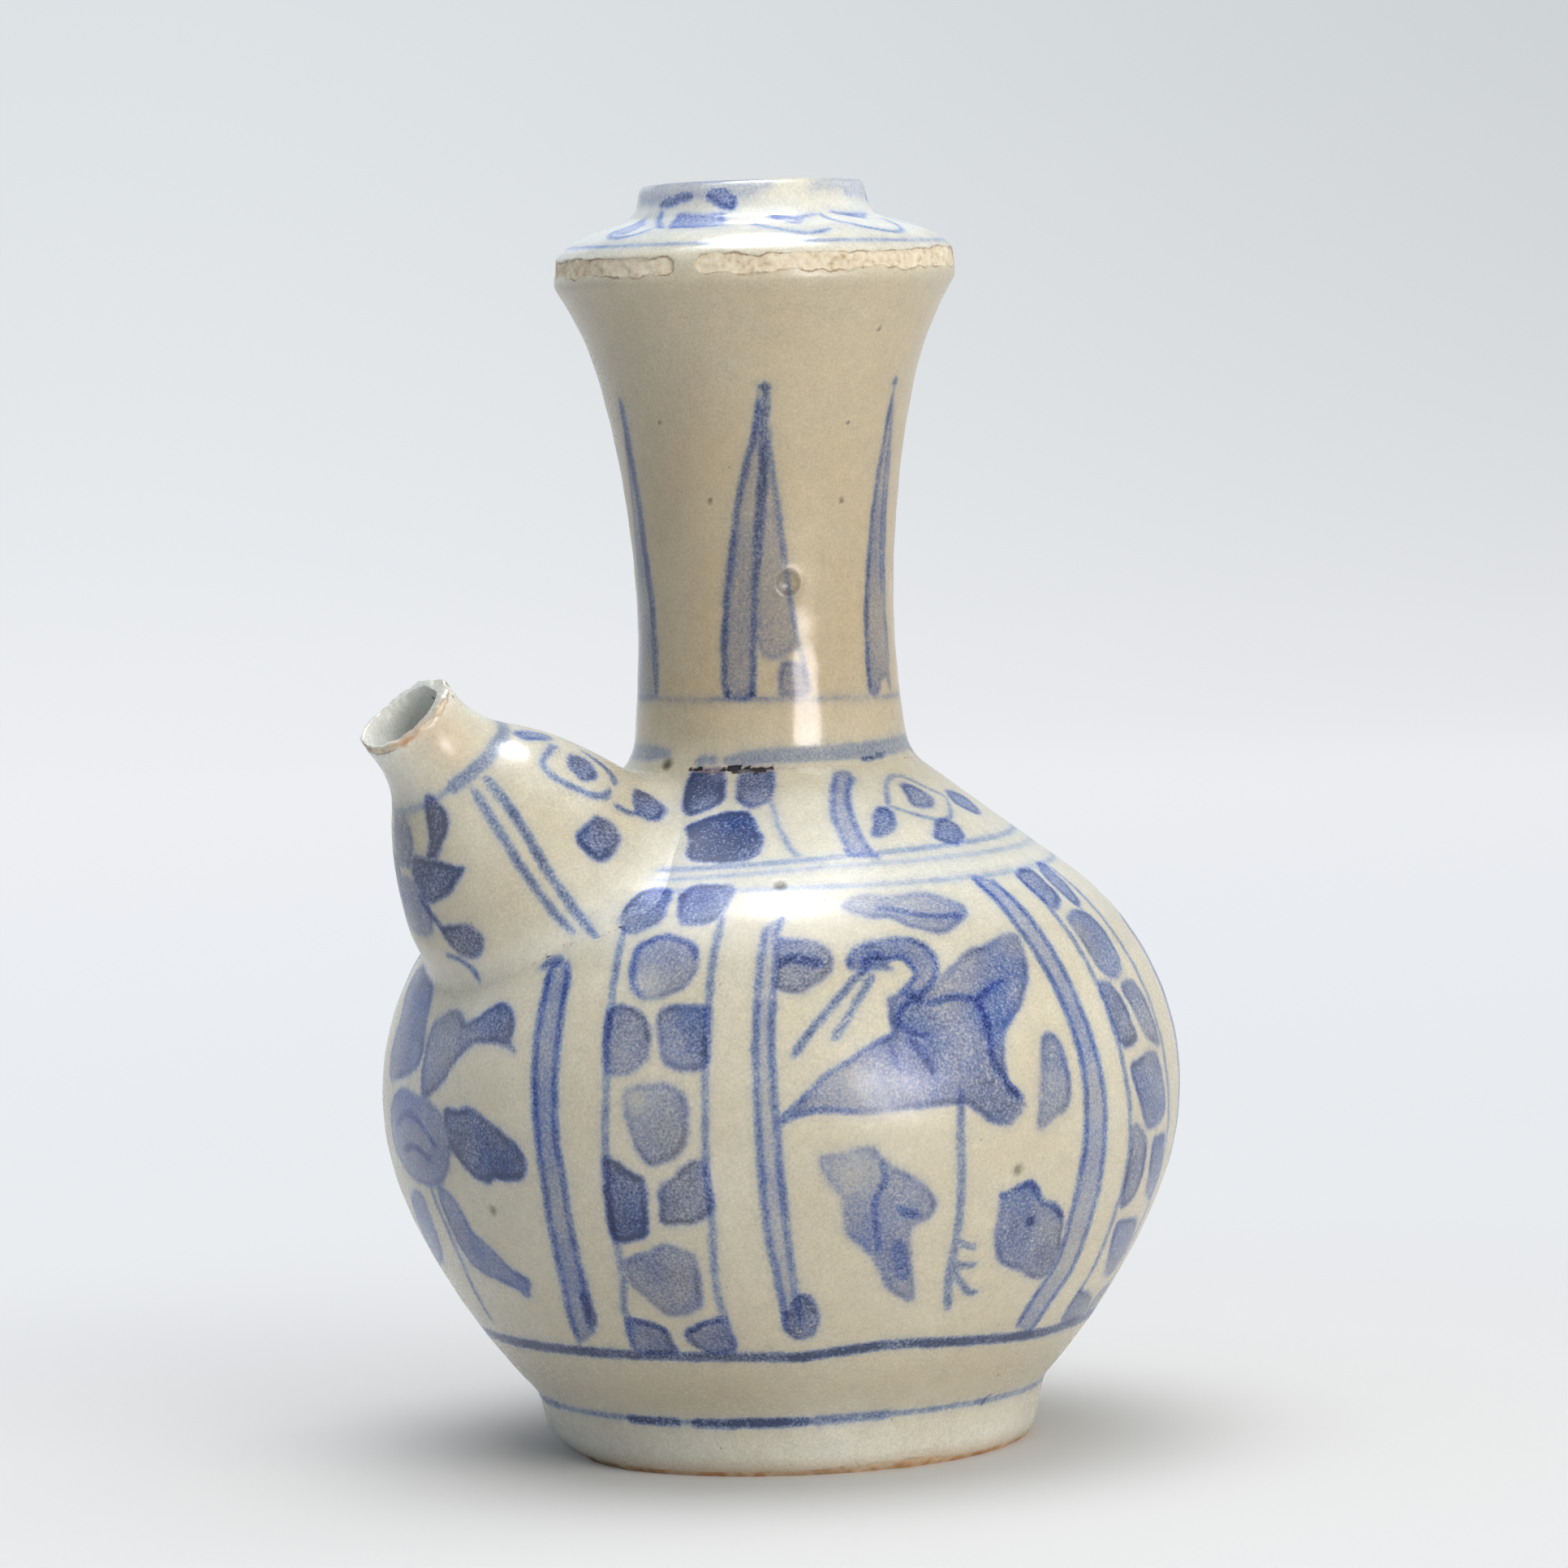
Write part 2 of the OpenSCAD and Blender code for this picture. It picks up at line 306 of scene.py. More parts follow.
def turned(rows, columns, caps=False):
    """Points and faces of rows of (radius, height) turned round the axis, with the outside uneven."""
    deg = np.arange(columns) * 360 / columns
    rows = np.array(rows, float)
    r = np.repeat(rows[:, 0], columns)
    z = np.repeat(rows[:, 1], columns)
    deg = np.tile(deg, len(rows))
    around = np.stack([-np.cos(np.radians(deg)), -np.sin(np.radians(deg)), np.zeros(len(deg))], axis=1)
    points = around * r[:, None]
    points[:, 2] = z
    s = s_at(z)
    outside = unit((r - r_at(s)) / 0.5 + 1)
    points += around * (outside * thrown(deg, s, points))[:, None]
    faces = ring_faces(len(rows), columns, not caps)
    if caps:
        faces.append(tuple(range(columns - 1, -1, -1)))
        faces.append(tuple(range(len(points) - columns, len(points))))
    return points, faces


def chipped_foot(points):
    """The points of the lower bowl, with the foot's edge worn down on one side."""
    rho = rho_of(points)
    worn = CHIP_DEPTH * patch(deg_of(points), CHIP_DEG, CHIP_HALF, 1.5)
    share = unit(1 - points[:, 2] / CHIP_HEIGHT)
    share *= unit((rho - foot_in_r) / (foot_r - foot_in_r))
    return widened(points, 1 - worn * share / np.maximum(rho, 1))


def mesh_object(name, points, faces):
    """Object with a closed mesh, faces outwards, in metres."""
    mesh = bpy.data.meshes.new(name)
    mesh.from_pydata((points * MM).tolist(), [], faces)
    box = bmesh.new()
    box.from_mesh(mesh)
    bmesh.ops.recalc_face_normals(box, faces=box.faces)
    box.to_mesh(mesh)
    box.free()
    obj = bpy.data.objects.new(name, mesh)
    bpy.context.scene.collection.objects.link(obj)
    return obj


def skin(z_low, z_high, step):
    """Rows of the outer outline between two heights."""
    s = steps(s_at(z_low), s_at(z_high), step)
    return list(zip(r_at(s), z_at(s)))


def lining(z_low, z_high, step):
    """Rows of the inner outline between two heights."""
    s = steps(np.interp(z_low, in_z, in_s), np.interp(z_high, in_z, in_s), step)
    return list(zip(np.interp(s, in_s, in_r), np.interp(s, in_s, in_z)))


def under_lap(z, z_edge):
    """Rows of the step by which the glaze laps over half of a slip seam."""
    r = r_at(s_at(z_edge)) - GLAZE_LAP
    return [(r, z_edge), (r, z)]


CHIP_DEG = -22
CHIP_HALF = 26
CHIP_DEPTH = 2.0
CHIP_HEIGHT = 3.4
FINE = 0.55
NECK_STEP = 0.45
CAP_STEP = 0.3
BAND_STEP = 0.2
COARSE = 3.0
BODY_COLUMNS = 640
NECK_COLUMNS = 400
BAND_COLUMNS = 800
CAP_COLUMNS = 500
BELLY_SEAM_COLUMNS = 200
NECK_SEAM_COLUMNS = 120
TOP = height - 0.02
belly_low = top_of("lower_bowl")
belly_high = foot_of("upper_bowl")
belly_mid = (belly_low + belly_high) / 2
seat_low = top_of("upper_bowl")
seat_high = foot_of("neck")
seat_mid = (seat_low + seat_high) / 2
neck_top = top_of("neck")
mouth_foot = foot_of("mouth_cap")

base = [(r, recess_z) for r in (1, 10, 20, foot_in_r - 1)]
base += [(foot_in_r - 0.3, recess_z - 0.3), (foot_in_r, recess_z - 1), (foot_in_r, 2)]
base += [(foot_in_r + 0.3, 0.5)]
base += [(foot_in_r + 1, 0), (foot_in_r + 2, 0), (foot_in_r + 3, 0), (foot_r - 0.7, 0)]
floor = [(np.interp(floor_z, in_z, in_r) - 1, floor_z), (20, floor_z), (10, floor_z), (1, floor_z)]
lower_rows = base + skin(0, belly_mid, FINE) + under_lap(belly_low, belly_mid)
lower_rows += lining(floor_z + 0.3, belly_low, COARSE)[::-1] + floor
upper_rows = skin(belly_mid, seat_mid, FINE) + under_lap(seat_low, seat_mid)
upper_rows += lining(belly_high, seat_low, COARSE)[::-1] + under_lap(belly_high, belly_mid)[::-1]
neck_rows = skin(seat_mid, neck_top, NECK_STEP)
neck_rows += lining(seat_high, neck_top, COARSE)[::-1] + under_lap(seat_high, seat_mid)[::-1]
cap_rows = skin(mouth_foot, TOP, CAP_STEP) + lining(mouth_foot, TOP, 0.8)[::-1]


def seam_rows(z_low, z_high):
    """Rows of a slip seam under the lapping glaze."""
    edge = r_at(s_at((z_low + z_high) / 2)) - GLAZE_LAP
    inside = np.interp(z_low, in_z, in_r)
    return [(inside, z_low), (edge, z_low), (edge, z_high), (inside, z_high)]


band_rows = skin(neck_top, mouth_foot, BAND_STEP) + lining(neck_top, mouth_foot, 1)[::-1]
parts = {}
lower_points, lower_faces = turned(lower_rows, BODY_COLUMNS, True)
parts["lower_bowl"] = mesh_object("lower_bowl_glazed", chipped_foot(lower_points), lower_faces)
belly_rows = seam_rows(belly_low, belly_high)
seat_rows = seam_rows(seat_low, seat_high)
parts["belly_slip"] = mesh_object("belly_seam", *turned(belly_rows, BELLY_SEAM_COLUMNS))
parts["upper_bowl"] = mesh_object("upper_bowl_glazed", *turned(upper_rows, BODY_COLUMNS))
parts["neck_slip"] = mesh_object("neck_seam", *turned(seat_rows, NECK_SEAM_COLUMNS))
parts["neck"] = mesh_object("neck_glazed", *turned(neck_rows, NECK_COLUMNS))
parts["mouth_slip"] = mesh_object("flaked_band", *turned(band_rows, BAND_COLUMNS))
parts["mouth_cap"] = mesh_object("mouth_glazed", *turned(cap_rows, CAP_COLUMNS))


# Spout: psi runs round its axis from the side towards the neck to the front, s up to the lip

SPOUT_RUN = 38.25
LEAST_WALL = 1.5
LONGEST = 60.0
SPOUT_EDGE = 0.45
bore = next(m for m in frame["record"]["mounts"] if m["name"] == "spout_bore")
spout_way = np.array(bore["axis"])
spout_mid = np.array(bore["pos_m"]) / MM
uphill = np.array([spout_way[2], 0, -spout_way[0]])
front = np.array([0, -1.0, 0])
spout_solid = solids(["spout"])
corners = np.array([v.co / MM for v in frame["nodes"]["spout"].data.vertices]) - spout_mid
lip_t = (corners @ spout_way).max()
spout_levels = np.arange(lip_t - LONGEST, lip_t - 0.01, 0.02)


def spout_point(t, r, psi):
    """Points at t along the spout's axis and r from it."""
    turn = np.radians(psi)
    side = np.cos(turn)[:, None] * uphill + np.sin(turn)[:, None] * front
    return spout_mid + t[:, None] * spout_way + r[:, None] * side


spout_out = []
spout_in = []
for t in spout_levels:
    centre = spout_mid + t * spout_way
    spout_out.append((LONGEST - reach(spout_solid, centre + LONGEST * front, -front), t))
    spout_in.append((reach(spout_solid, centre, front), t))
walled = [b[0] - a[0] > LEAST_WALL for a, b in zip(spout_in, spout_out)]
wall_start = len(walled) - walled[::-1].index(False)
spout_in = spout_in[wall_start:]
spout_out = [p for p in spout_out if not np.isnan(p[0])]
root_slope = np.array(spout_out[0]) - np.array(spout_out[60])
root_slope /= np.hypot(*root_slope)
longer = np.arange(12, 0, -0.5)
extra = [tuple(np.array(spout_out[0]) + root_slope * d) for d in longer]
bore_extra = [(spout_in[0][0], spout_in[0][1] - d) for d in longer]
lip_edge = [(spout_out[-1][0], lip_t), (spout_in[-1][0], lip_t)]
run_out = extra + spout_out + lip_edge[:1]
out_length = np.hypot(*np.diff(np.array(run_out), axis=0).T).sum()
whole_s, whole_r, whole_t = resampled(run_out + lip_edge[1:] + spout_in[::-1] + bore_extra[::-1])
whole_r = rounded(whole_r, SPOUT_EDGE)
whole_t = rounded(whole_t, SPOUT_EDGE)
whole_s = whole_s + SPOUT_RUN - out_length
LIP_WIDTH = lip_edge[0][0] - lip_edge[1][0]


def above_body(points):
    """Height of points above the vessel's uneven outer surface, about square to it."""
    rho = rho_of(points)
    s = s_at(points[:, 2])
    ahead = s + 0.5
    lean = np.arctan2(z_at(ahead) - z_at(s), r_at(s) - r_at(ahead))
    even = widened(points, r_at(s) / rho)
    return (rho - r_at(s) - thrown(deg_of(points), s, even)) * np.sin(lean)


SPOUT_COLUMNS = 360
psi_row = np.arange(SPOUT_COLUMNS) * 360 / SPOUT_COLUMNS

# The root isn't quite round: by psi, how far it stands out of its even outline
ROOT_PSI = (0, 60, 90, 102, 116, 130, 150, 170, 190, 205, 240, 290)
ROOT_GROWTH = (-1.2, -1.4, -0.3, 0.1, -1.2, -1.7, -2.1, -2.5, -2.6, -2.4, -1.9, -1.4)
ROOT_REACH = 9.0
# A lump below the nozzle, a tilted lip, and a bore that flares on one side and narrows on the other
LUMP = 1.2
LUMP_T = -9.0
LUMP_PSI = 62
LIP_TILT = 0.6
LIP_TILT_REACH = 7.0
FLARE = 1.3
FLARE_DEPTH = 5.0
FLARE_PSI = 200
THICK = 0.9
THICK_PSI = 85


def profile_point(s, psi):
    """Points of the spout's outline at s, with its uneven root and nozzle."""
    t = np.interp(s, whole_s, whole_t)
    r = np.interp(s, whole_s, whole_r)
    r = r + np.interp(psi, ROOT_PSI, ROOT_GROWTH, period=360) * unit(1 - s / ROOT_REACH) ** 2
    r = r + LUMP * bell(t - LUMP_T, 2.6) * bell(apart(psi, LUMP_PSI), 30) * (s < SPOUT_RUN)
    flare = FLARE * bell(apart(psi, FLARE_PSI), 70) - THICK * bell(apart(psi, THICK_PSI), 55)
    r = r + flare * unit(1 - (lip_t - t) / FLARE_DEPTH) * unit((s - SPOUT_RUN) / LIP_WIDTH)
    near_lip = unit((t - lip_t + LIP_TILT_REACH) / LIP_TILT_REACH) ** 2
    return spout_point(t - LIP_TILT * np.sin(np.radians(psi)) * near_lip, r, psi)


def meets_body(s_inside, s_outside):
    """For each psi, the s at which the spout's outline meets the vessel."""
    low = np.full(SPOUT_COLUMNS, float(s_inside))
    high = np.full(SPOUT_COLUMNS, float(s_outside))
    for _ in range(30):
        mid = (low + high) / 2
        inside = above_body(profile_point(mid, psi_row)) < 0
        low = np.where(inside, mid, low)
        high = np.where(inside, high, mid)
    return high


# The glaze fills the corner at the root: by psi, how far out it reaches and how high
FILLET_PSI = (0, 25, 50, 66, 86, 98, 112, 130, 200, 260, 320)
FILLET_OUT = (3.2, 4.2, 3.2, 3.2, 5.4, 4.2, 2.4, 1.7, 1.6, 2.6, 4.0)
fillet_out = np.interp(psi_row, FILLET_PSI, FILLET_OUT, period=360)
fillet_high = 1.5 * fillet_out + 1.2
root_s = meets_body(-8, 14)
bore_end = whole_s[-1]
bore_s = meets_body(bore_end - 0.2, SPOUT_RUN + 8)
OUTER_ROWS = 104
LIP_ROWS = 9
BORE_ROWS = 22
SINK = 0.06
LIP_END = SPOUT_RUN + LIP_WIDTH


def settled(points, height_above, moving=1):
    """The points moved along the spout's axis to that height above the body."""
    for _ in range(4):
        points = points - spout_way * ((above_body(points) - height_above) * moving)[:, None]
    return points


spout_rows = []
spout_s = []
for share in np.linspace(0, 1, OUTER_ROWS) ** 1.5:
    s_here = root_s + (SPOUT_RUN - root_s) * share
    p = profile_point(s_here, psi_row)
    high = np.maximum(above_body(p), 0)
    spread = fillet_out * unit(1 - np.sqrt(high / fillet_high)) ** 2
    on_axis = spout_point(np.interp(s_here, whole_s, whole_t), np.zeros(SPOUT_COLUMNS), psi_row)
    p = p + (p - on_axis) * (spread / np.interp(s_here, whole_s, whole_r))[:, None]
    spout_rows.append(settled(p, high - (SINK if share == 0 else 0), spread > 0))
    spout_s.append(s_here)
inner_s = [np.full(SPOUT_COLUMNS, s) for s in np.linspace(SPOUT_RUN, LIP_END, LIP_ROWS)[1:]]
inner_s += [LIP_END + (bore_s - LIP_END) * share for share in np.linspace(0, 1, BORE_ROWS)[1:]]
spout_rows += [profile_point(s_here, psi_row) for s_here in inner_s]
spout_s += inner_s
spout_points = np.concatenate(spout_rows)
spout_s = np.concatenate(spout_s)
spout_psi = np.tile(psi_row, len(spout_rows))
spout_root = np.tile(root_s, len(spout_rows))


def grit(s, points):
    """How far the rough lip of the nozzle stands out of its even shape."""
    rough = unit(1 - np.abs(s - SPOUT_RUN - 0.6) / 2.2)
    coarse = 0.35 * noise(points, 2.4, 30) + 0.3 * noise(points, 1.3, 31)
    return rough * (coarse + 0.2 * noise(points, 0.6, 32))


spout_t = (spout_points - spout_mid) @ spout_way
away = spout_points - spout_point(spout_t, np.zeros(len(spout_points)), spout_psi)
away /= np.linalg.norm(away, axis=1)[:, None]
on_skin = (spout_s < LIP_END) & (spout_s > spout_root + 0.3)
uneven = np.where(on_skin, 0.07 * noise(spout_points, 7, 33) + 0.02 * noise(spout_points, 2, 34), 0)
spout_points = spout_points + away * (uneven + grit(spout_s, spout_points))[:, None]
spout_points = spout_points + spout_way * (0.8 * grit(spout_s, spout_points[:, [1, 2, 0]]))[:, None]
parts["spout"] = mesh_object("spout_glazed", spout_points, ring_faces(len(spout_rows), SPOUT_COLUMNS))

outer_root = spout_rows[0]
inner_root = spout_rows[-1]
pad_out = outer_root + (inner_root - outer_root) * 0.5
pad_in = inner_root + (outer_root - inner_root) * 0.05
PAD_HEIGHT = 0.3
pad_rows = [settled(row, lift) for row, lift in
            ((pad_out, 0), (pad_out, PAD_HEIGHT), (pad_in, PAD_HEIGHT), (pad_in, 0))]
parts["spout_slip"] = mesh_object("spout_seam", np.concatenate(pad_rows), ring_faces(4, SPOUT_COLUMNS))

# The hole from the body into the spout
HOLE_R = 8.0
HOLE_T = -30.0
HOLE_LENGTH = 24.0
hole = bmesh.new()
hole_place = Matrix.Translation(Vector(spout_mid + HOLE_T * spout_way) * MM)
hole_turn = Vector(spout_way).to_track_quat("Z", "Y").to_matrix().to_4x4()
bmesh.ops.create_cone(hole, cap_ends=True, segments=64, radius1=HOLE_R * MM, radius2=HOLE_R * MM,
                      depth=HOLE_LENGTH * MM, matrix=hole_place @ hole_turn)
hole_mesh = bpy.data.meshes.new("hole")
hole.to_mesh(hole_mesh)
hole.free()
hole_object = bpy.data.objects.new("hole", hole_mesh)
bpy.context.scene.collection.objects.link(hole_object)
cut = parts["upper_bowl"].modifiers.new("hole", "BOOLEAN")
cut.operation = "DIFFERENCE"
cut.solver = "MANIFOLD"
cut.object = hole_object
graph = bpy.context.evaluated_depsgraph_get()
drilled = bpy.data.meshes.new_from_object(parts["upper_bowl"].evaluated_get(graph))
parts["upper_bowl"].modifiers.clear()
parts["upper_bowl"].data = drilled
bpy.data.objects.remove(hole_object)


# Brushwork: each mark is a run of points (deg, s)

def line(width, tone, *points):
    return {"kind": "line", "width": width, "tone": tone, "points": points}


def wash(tone, *points):
    return {"kind": "wash", "tone": tone, "points": points}


def ring(width, tone, *points):
    return {"kind": "ring", "width": width, "tone": tone, "points": points}


def bar(tone, width, edge_tone, left, right):
    """A long wash with a line along each side."""
    edges = [line(width, edge_tone, *side) for side in (left, right)]
    return [wash(tone, *left, *right[::-1])] + edges


def moved(marks, turn, lift=0, mirror=False):
    """The marks turned round the axis and lifted, or mirrored about deg 0 first."""
    sign = -1 if mirror else 1
    return [{**m, "points": [(turn + sign * x, y + lift) for x, y in m["points"]]} for m in marks]


cobble_band = [
    line(0.8, 0.55, (34.8, 88), (35.5, 84), (36.2, 78), (36.5, 72), (37, 64), (36.8, 56), (36.4, 42),
         (36, 36), (34.7, 32), (34.2, 29), (33.5, 24)),
    line(0.8, 0.5, (52.5, 90), (52, 86), (51.6, 80), (51.7, 72), (51.4, 64), (51.2, 54), (51.4, 46),
         (50.8, 36), (51, 32), (52, 28)),
    wash(0.62, (33.8, 94.5), (36, 95.8), (41, 95.3), (41.5, 92), (41.2, 89), (39, 87.8), (36.5, 86.8),
         (34.5, 88), (33, 91)),
    wash(0.66, (43.6, 94.5), (46, 96.2), (53.5, 96), (53.2, 93), (52.3, 90.5), (50.5, 89), (47.5, 88.5),
         (45.2, 88.8), (44, 91)),
    wash(0.42, (38.2, 84.8), (40, 86), (43, 87), (45.5, 86.3), (48, 85.3), (49.3, 83), (49, 80),
         (47.5, 78), (45, 77), (42.5, 76.2), (40.3, 76.8), (38.8, 78.5), (38.2, 81)),
    wash(0.6, (36.3, 75), (38.5, 75.6), (41, 74.8), (42.7, 73), (43.2, 70.5), (42.8, 68), (41, 66.3),
         (38.5, 65.6), (36.8, 66.5), (36, 70)),
    wash(0.54, (44.3, 75), (49.5, 75.6), (51.3, 75), (51.5, 71), (51.6, 67.5), (50, 66.3), (47.5, 66.5),
         (45.5, 67.5), (44.6, 70)),
    wash(0.5, (40, 63.8), (43.5, 64.6), (46.5, 64.5), (48.6, 62.8), (49, 60), (48.7, 57), (47.5, 55),
         (45.5, 53.8), (43, 53.5), (41.5, 55.5), (40.5, 58), (39.8, 61)),
    wash(0.81, (36.2, 54), (38.5, 53.8), (40.5, 52.2), (42, 51.5), (42.3, 49), (42, 46), (41.5, 43.2),
         (39, 42.3), (37, 42), (36, 42.5), (35.8, 45), (36, 50)),
    wash(0.68, (44.3, 50.2), (46.5, 51.8), (48, 53.3), (49.5, 54), (51.2, 53.6), (51.8, 50), (51.6, 47),
         (50.5, 45.8), (48.5, 45), (44.2, 45), (44.2, 47.5)),
    wash(0.52, (37.2, 39), (39, 40), (41.5, 40.6), (43.5, 41.7), (45, 41.5), (48.2, 40), (48.4, 36),
         (48, 31.8), (46.5, 30.5), (44, 29.8), (42, 30), (40.3, 31.5), (38.7, 33.2), (37, 35.2),
         (36.8, 37.3)),
    wash(0.6, (34.2, 29.2), (37.5, 28.6), (39.5, 28), (41, 27), (41.3, 25), (41.8, 23), (34, 23),
         (33.7, 26)),
    wash(0.58, (44.3, 27), (46, 27.8), (48.5, 28.8), (51.2, 29.5), (52, 28), (52.5, 24), (50, 23),
         (47, 23.2), (44.2, 25.5)),
    line(0.7, 0.9, (34.2, 29), (37.5, 28.5), (39.5, 27.9), (41, 26.8)),
    line(0.7, 0.85, (44.5, 27), (46.5, 27.9), (49, 28.9), (51.5, 29.4)),
    line(1.1, 0.95, (43.5, 94.3), (44.4, 93.8)),
    line(0.7, 0.42, (40.8, 77), (39.2, 79.5), (38.7, 82), (39, 84.6), (41, 85.8), (43.3, 86.4),
         (45.6, 85.8), (48, 84.8), (48.9, 82.8)),
]
cobble_band_two = [
    line(0.8, 0.5, (117.5, 94), (117.8, 80), (118, 70), (119, 62), (120.2, 54), (121, 46), (121.5, 38),
         (121.8, 34), (121, 28)),
    line(0.8, 0.45, (134.5, 94), (133.4, 84), (133.2, 72), (134, 62), (135.6, 52), (136.8, 42),
         (137.6, 32), (137.2, 26)),
    wash(0.6, (117.3, 94), (120, 95), (123, 95), (125, 94.3), (124.5, 91), (123.5, 88.5), (121, 87.3),
         (118.5, 87), (117.2, 90)),
    wash(0.56, (126.5, 92.5), (128.5, 94.8), (131, 95.6), (133.5, 95), (132.5, 92), (131, 89),
         (129.5, 87), (127, 86.7), (126, 89)),
    wash(0.56, (119.8, 84), (122, 85.4), (124.5, 86), (127, 85.6), (129, 84.5), (129.7, 82),
         (129.3, 78.5), (128, 76.2), (125.5, 74.8), (123, 74.6), (121, 75.8), (120, 77.5)),
    wash(0.66, (118, 74), (120, 74.4), (122, 73.6), (123.5, 71), (124, 68), (124.3, 65.5), (119, 65.5)),
    wash(0.62, (124.5, 72.8), (126.5, 73.8), (129.5, 73.6), (131, 71.5), (132, 68), (132.6, 64),
         (129.5, 64.5), (127, 66), (125.8, 69)),
    wash(0.6, (120.8, 61.6), (123, 62.6), (126, 63.2), (129.5, 63.2), (131.5, 61), (132.5, 58),
         (133.3, 54.5), (131, 53), (128, 52.5), (125.5, 53), (123.5, 55.5)),
    wash(0.66, (121, 53.5), (123, 53.3), (125.5, 51.5), (126.8, 49), (127, 45), (126.5, 42.5),
         (124.5, 41.3), (122, 42), (121, 48)),
    wash(0.62, (128.5, 50.5), (131, 51), (134, 50.8), (135.5, 48), (136.5, 41), (134, 41.5),
         (131.5, 42.5), (130, 45)),
    wash(0.6, (123.2, 38.5), (126, 39), (129, 38.8), (132, 38.3), (135, 36), (136, 33), (135, 30),
         (133, 29), (130, 29.3), (127.5, 31), (125.5, 33.5)),
    wash(0.58, (120.3, 28), (123, 27.6), (127, 26.5), (129.5, 25), (130.5, 22.5), (120.5, 22.5)),
    wash(0.52, (132, 26), (135, 27), (138, 26.5), (138, 22.5), (132.5, 22.5)),
]
shoulder_cobble = [
    wash(1.05, (30, 119.6), (36, 120.2), (43, 119.8), (46.5, 114.5), (44, 112.5), (40, 111.3),
         (37, 111), (34.5, 112), (33, 114)),
    wash(0.78, (50, 119.0), (53, 120.0), (62.5, 119.8), (62, 114.5), (59.5, 113), (56, 112.2),
         (52.5, 113), (50.7, 114.5)),
    wash(1.05, (38.5, 108.5), (42, 109.8), (46, 110.8), (50, 111.3), (54, 111.2), (56.5, 109.8),
         (57.8, 107.5), (59, 106), (58.8, 103.5), (57, 101.8), (53, 101), (48, 101.2), (43.5, 101.5),
         (41.2, 103), (41, 105), (39.5, 107)),
    line(0.5, 0.3, (61.3, 113.5), (62.5, 111), (63.5, 108), (64.8, 105.5), (66, 103), (68, 101.8)),
]
sprig_left = ((79, 101.3), (79.3, 104), (78.8, 107), (79, 110), (80.5, 113), (83, 116))
sprig_right = ((85.5, 100.7), (84.3, 103), (84, 107), (85, 111), (87, 114), (90, 116.3))
shoulder_sprig = [
    wash(0.34, *sprig_left, (86, 118.8), (93, 118.6), *sprig_right[::-1]),
    line(0.6, 0.42, *sprig_left, (86, 117.8)),
    line(0.6, 0.42, *sprig_right, (93, 117.5)),
    line(0.45, 0.42, (98, 111), (104, 109), (108, 107.8), (112, 107.2), (116, 107.3), (119, 108.2),
         (125, 111)),
    line(0.45, 0.42, (98, 111.3), (100, 113), (103, 115), (106, 116.3), (109, 117), (113, 117),
         (117, 116), (120, 114.5), (126, 111.5)),
    wash(0.55, (87, 105), (89, 107.5), (91, 109.5), (93.5, 110.7), (96, 111), (97.5, 110), (96.5, 108),
         (94.5, 106.5), (92, 105.3)),
    wash(0.52, (106.8, 110.5), (108, 113), (109.5, 114.8), (112, 115.3), (115, 114.8), (117.5, 113),
         (118.5, 111.5), (116, 110.5), (112.5, 109.8)),
    wash(0.58, (104, 103.5), (106.5, 105.2), (109, 106.8), (112, 107.2), (115, 106.8), (116, 105.3),
         (114.5, 103.5), (111.5, 102.3), (108, 101.9)),
    wash(0.5, (127, 110), (129, 112), (132, 112.6), (136, 112), (140, 110.5), (138, 108), (134, 107),
         (131, 107.2), (128.5, 108.5)),
]
crane_frame = bar(
    0.2, 0.7, 0.5,
    ((60, 87.5), (59.5, 84), (59, 80), (58.5, 72), (58.4, 66), (58.6, 56), (58.8, 50), (59.3, 42),
     (60, 38), (60.5, 34), (61.5, 27)),
    ((63, 89.5), (62, 86), (61.7, 82), (61.3, 78), (60.8, 72), (60.9, 64), (61.2, 58), (61.5, 52),
     (62, 44), (62.8, 36), (63.8, 28)))
crane_frame += bar(
    0.3, 0.9, 0.48,
    ((104.5, 95), (105.5, 90), (106, 86), (106.8, 80), (108, 72), (109, 64), (109.3, 60), (109, 52),
     (108.7, 44), (109.3, 36), (108.8, 33), (107.5, 30), (106.5, 27), (106, 24)),
    ((109.2, 93.5), (110.3, 88), (110.8, 82), (111.3, 74), (112.5, 66), (113.5, 58), (113.7, 50),
     (114.2, 42), (114.5, 34), (114, 31), (112.5, 27.5), (111.3, 24), (111, 22)))
crane_frame += [
    wash(0.74, (61, 31.5), (62, 33), (65, 33), (66.3, 31), (66.7, 28.5), (66, 26.3), (64, 25.3),
         (62.3, 25.8), (61, 28)),
]
tail_edge = ((62, 60), (64, 61.5), (66, 63.5), (68.5, 65.5), (71, 66.8), (73.5, 68.3), (76, 69.6),
             (78, 70.5))
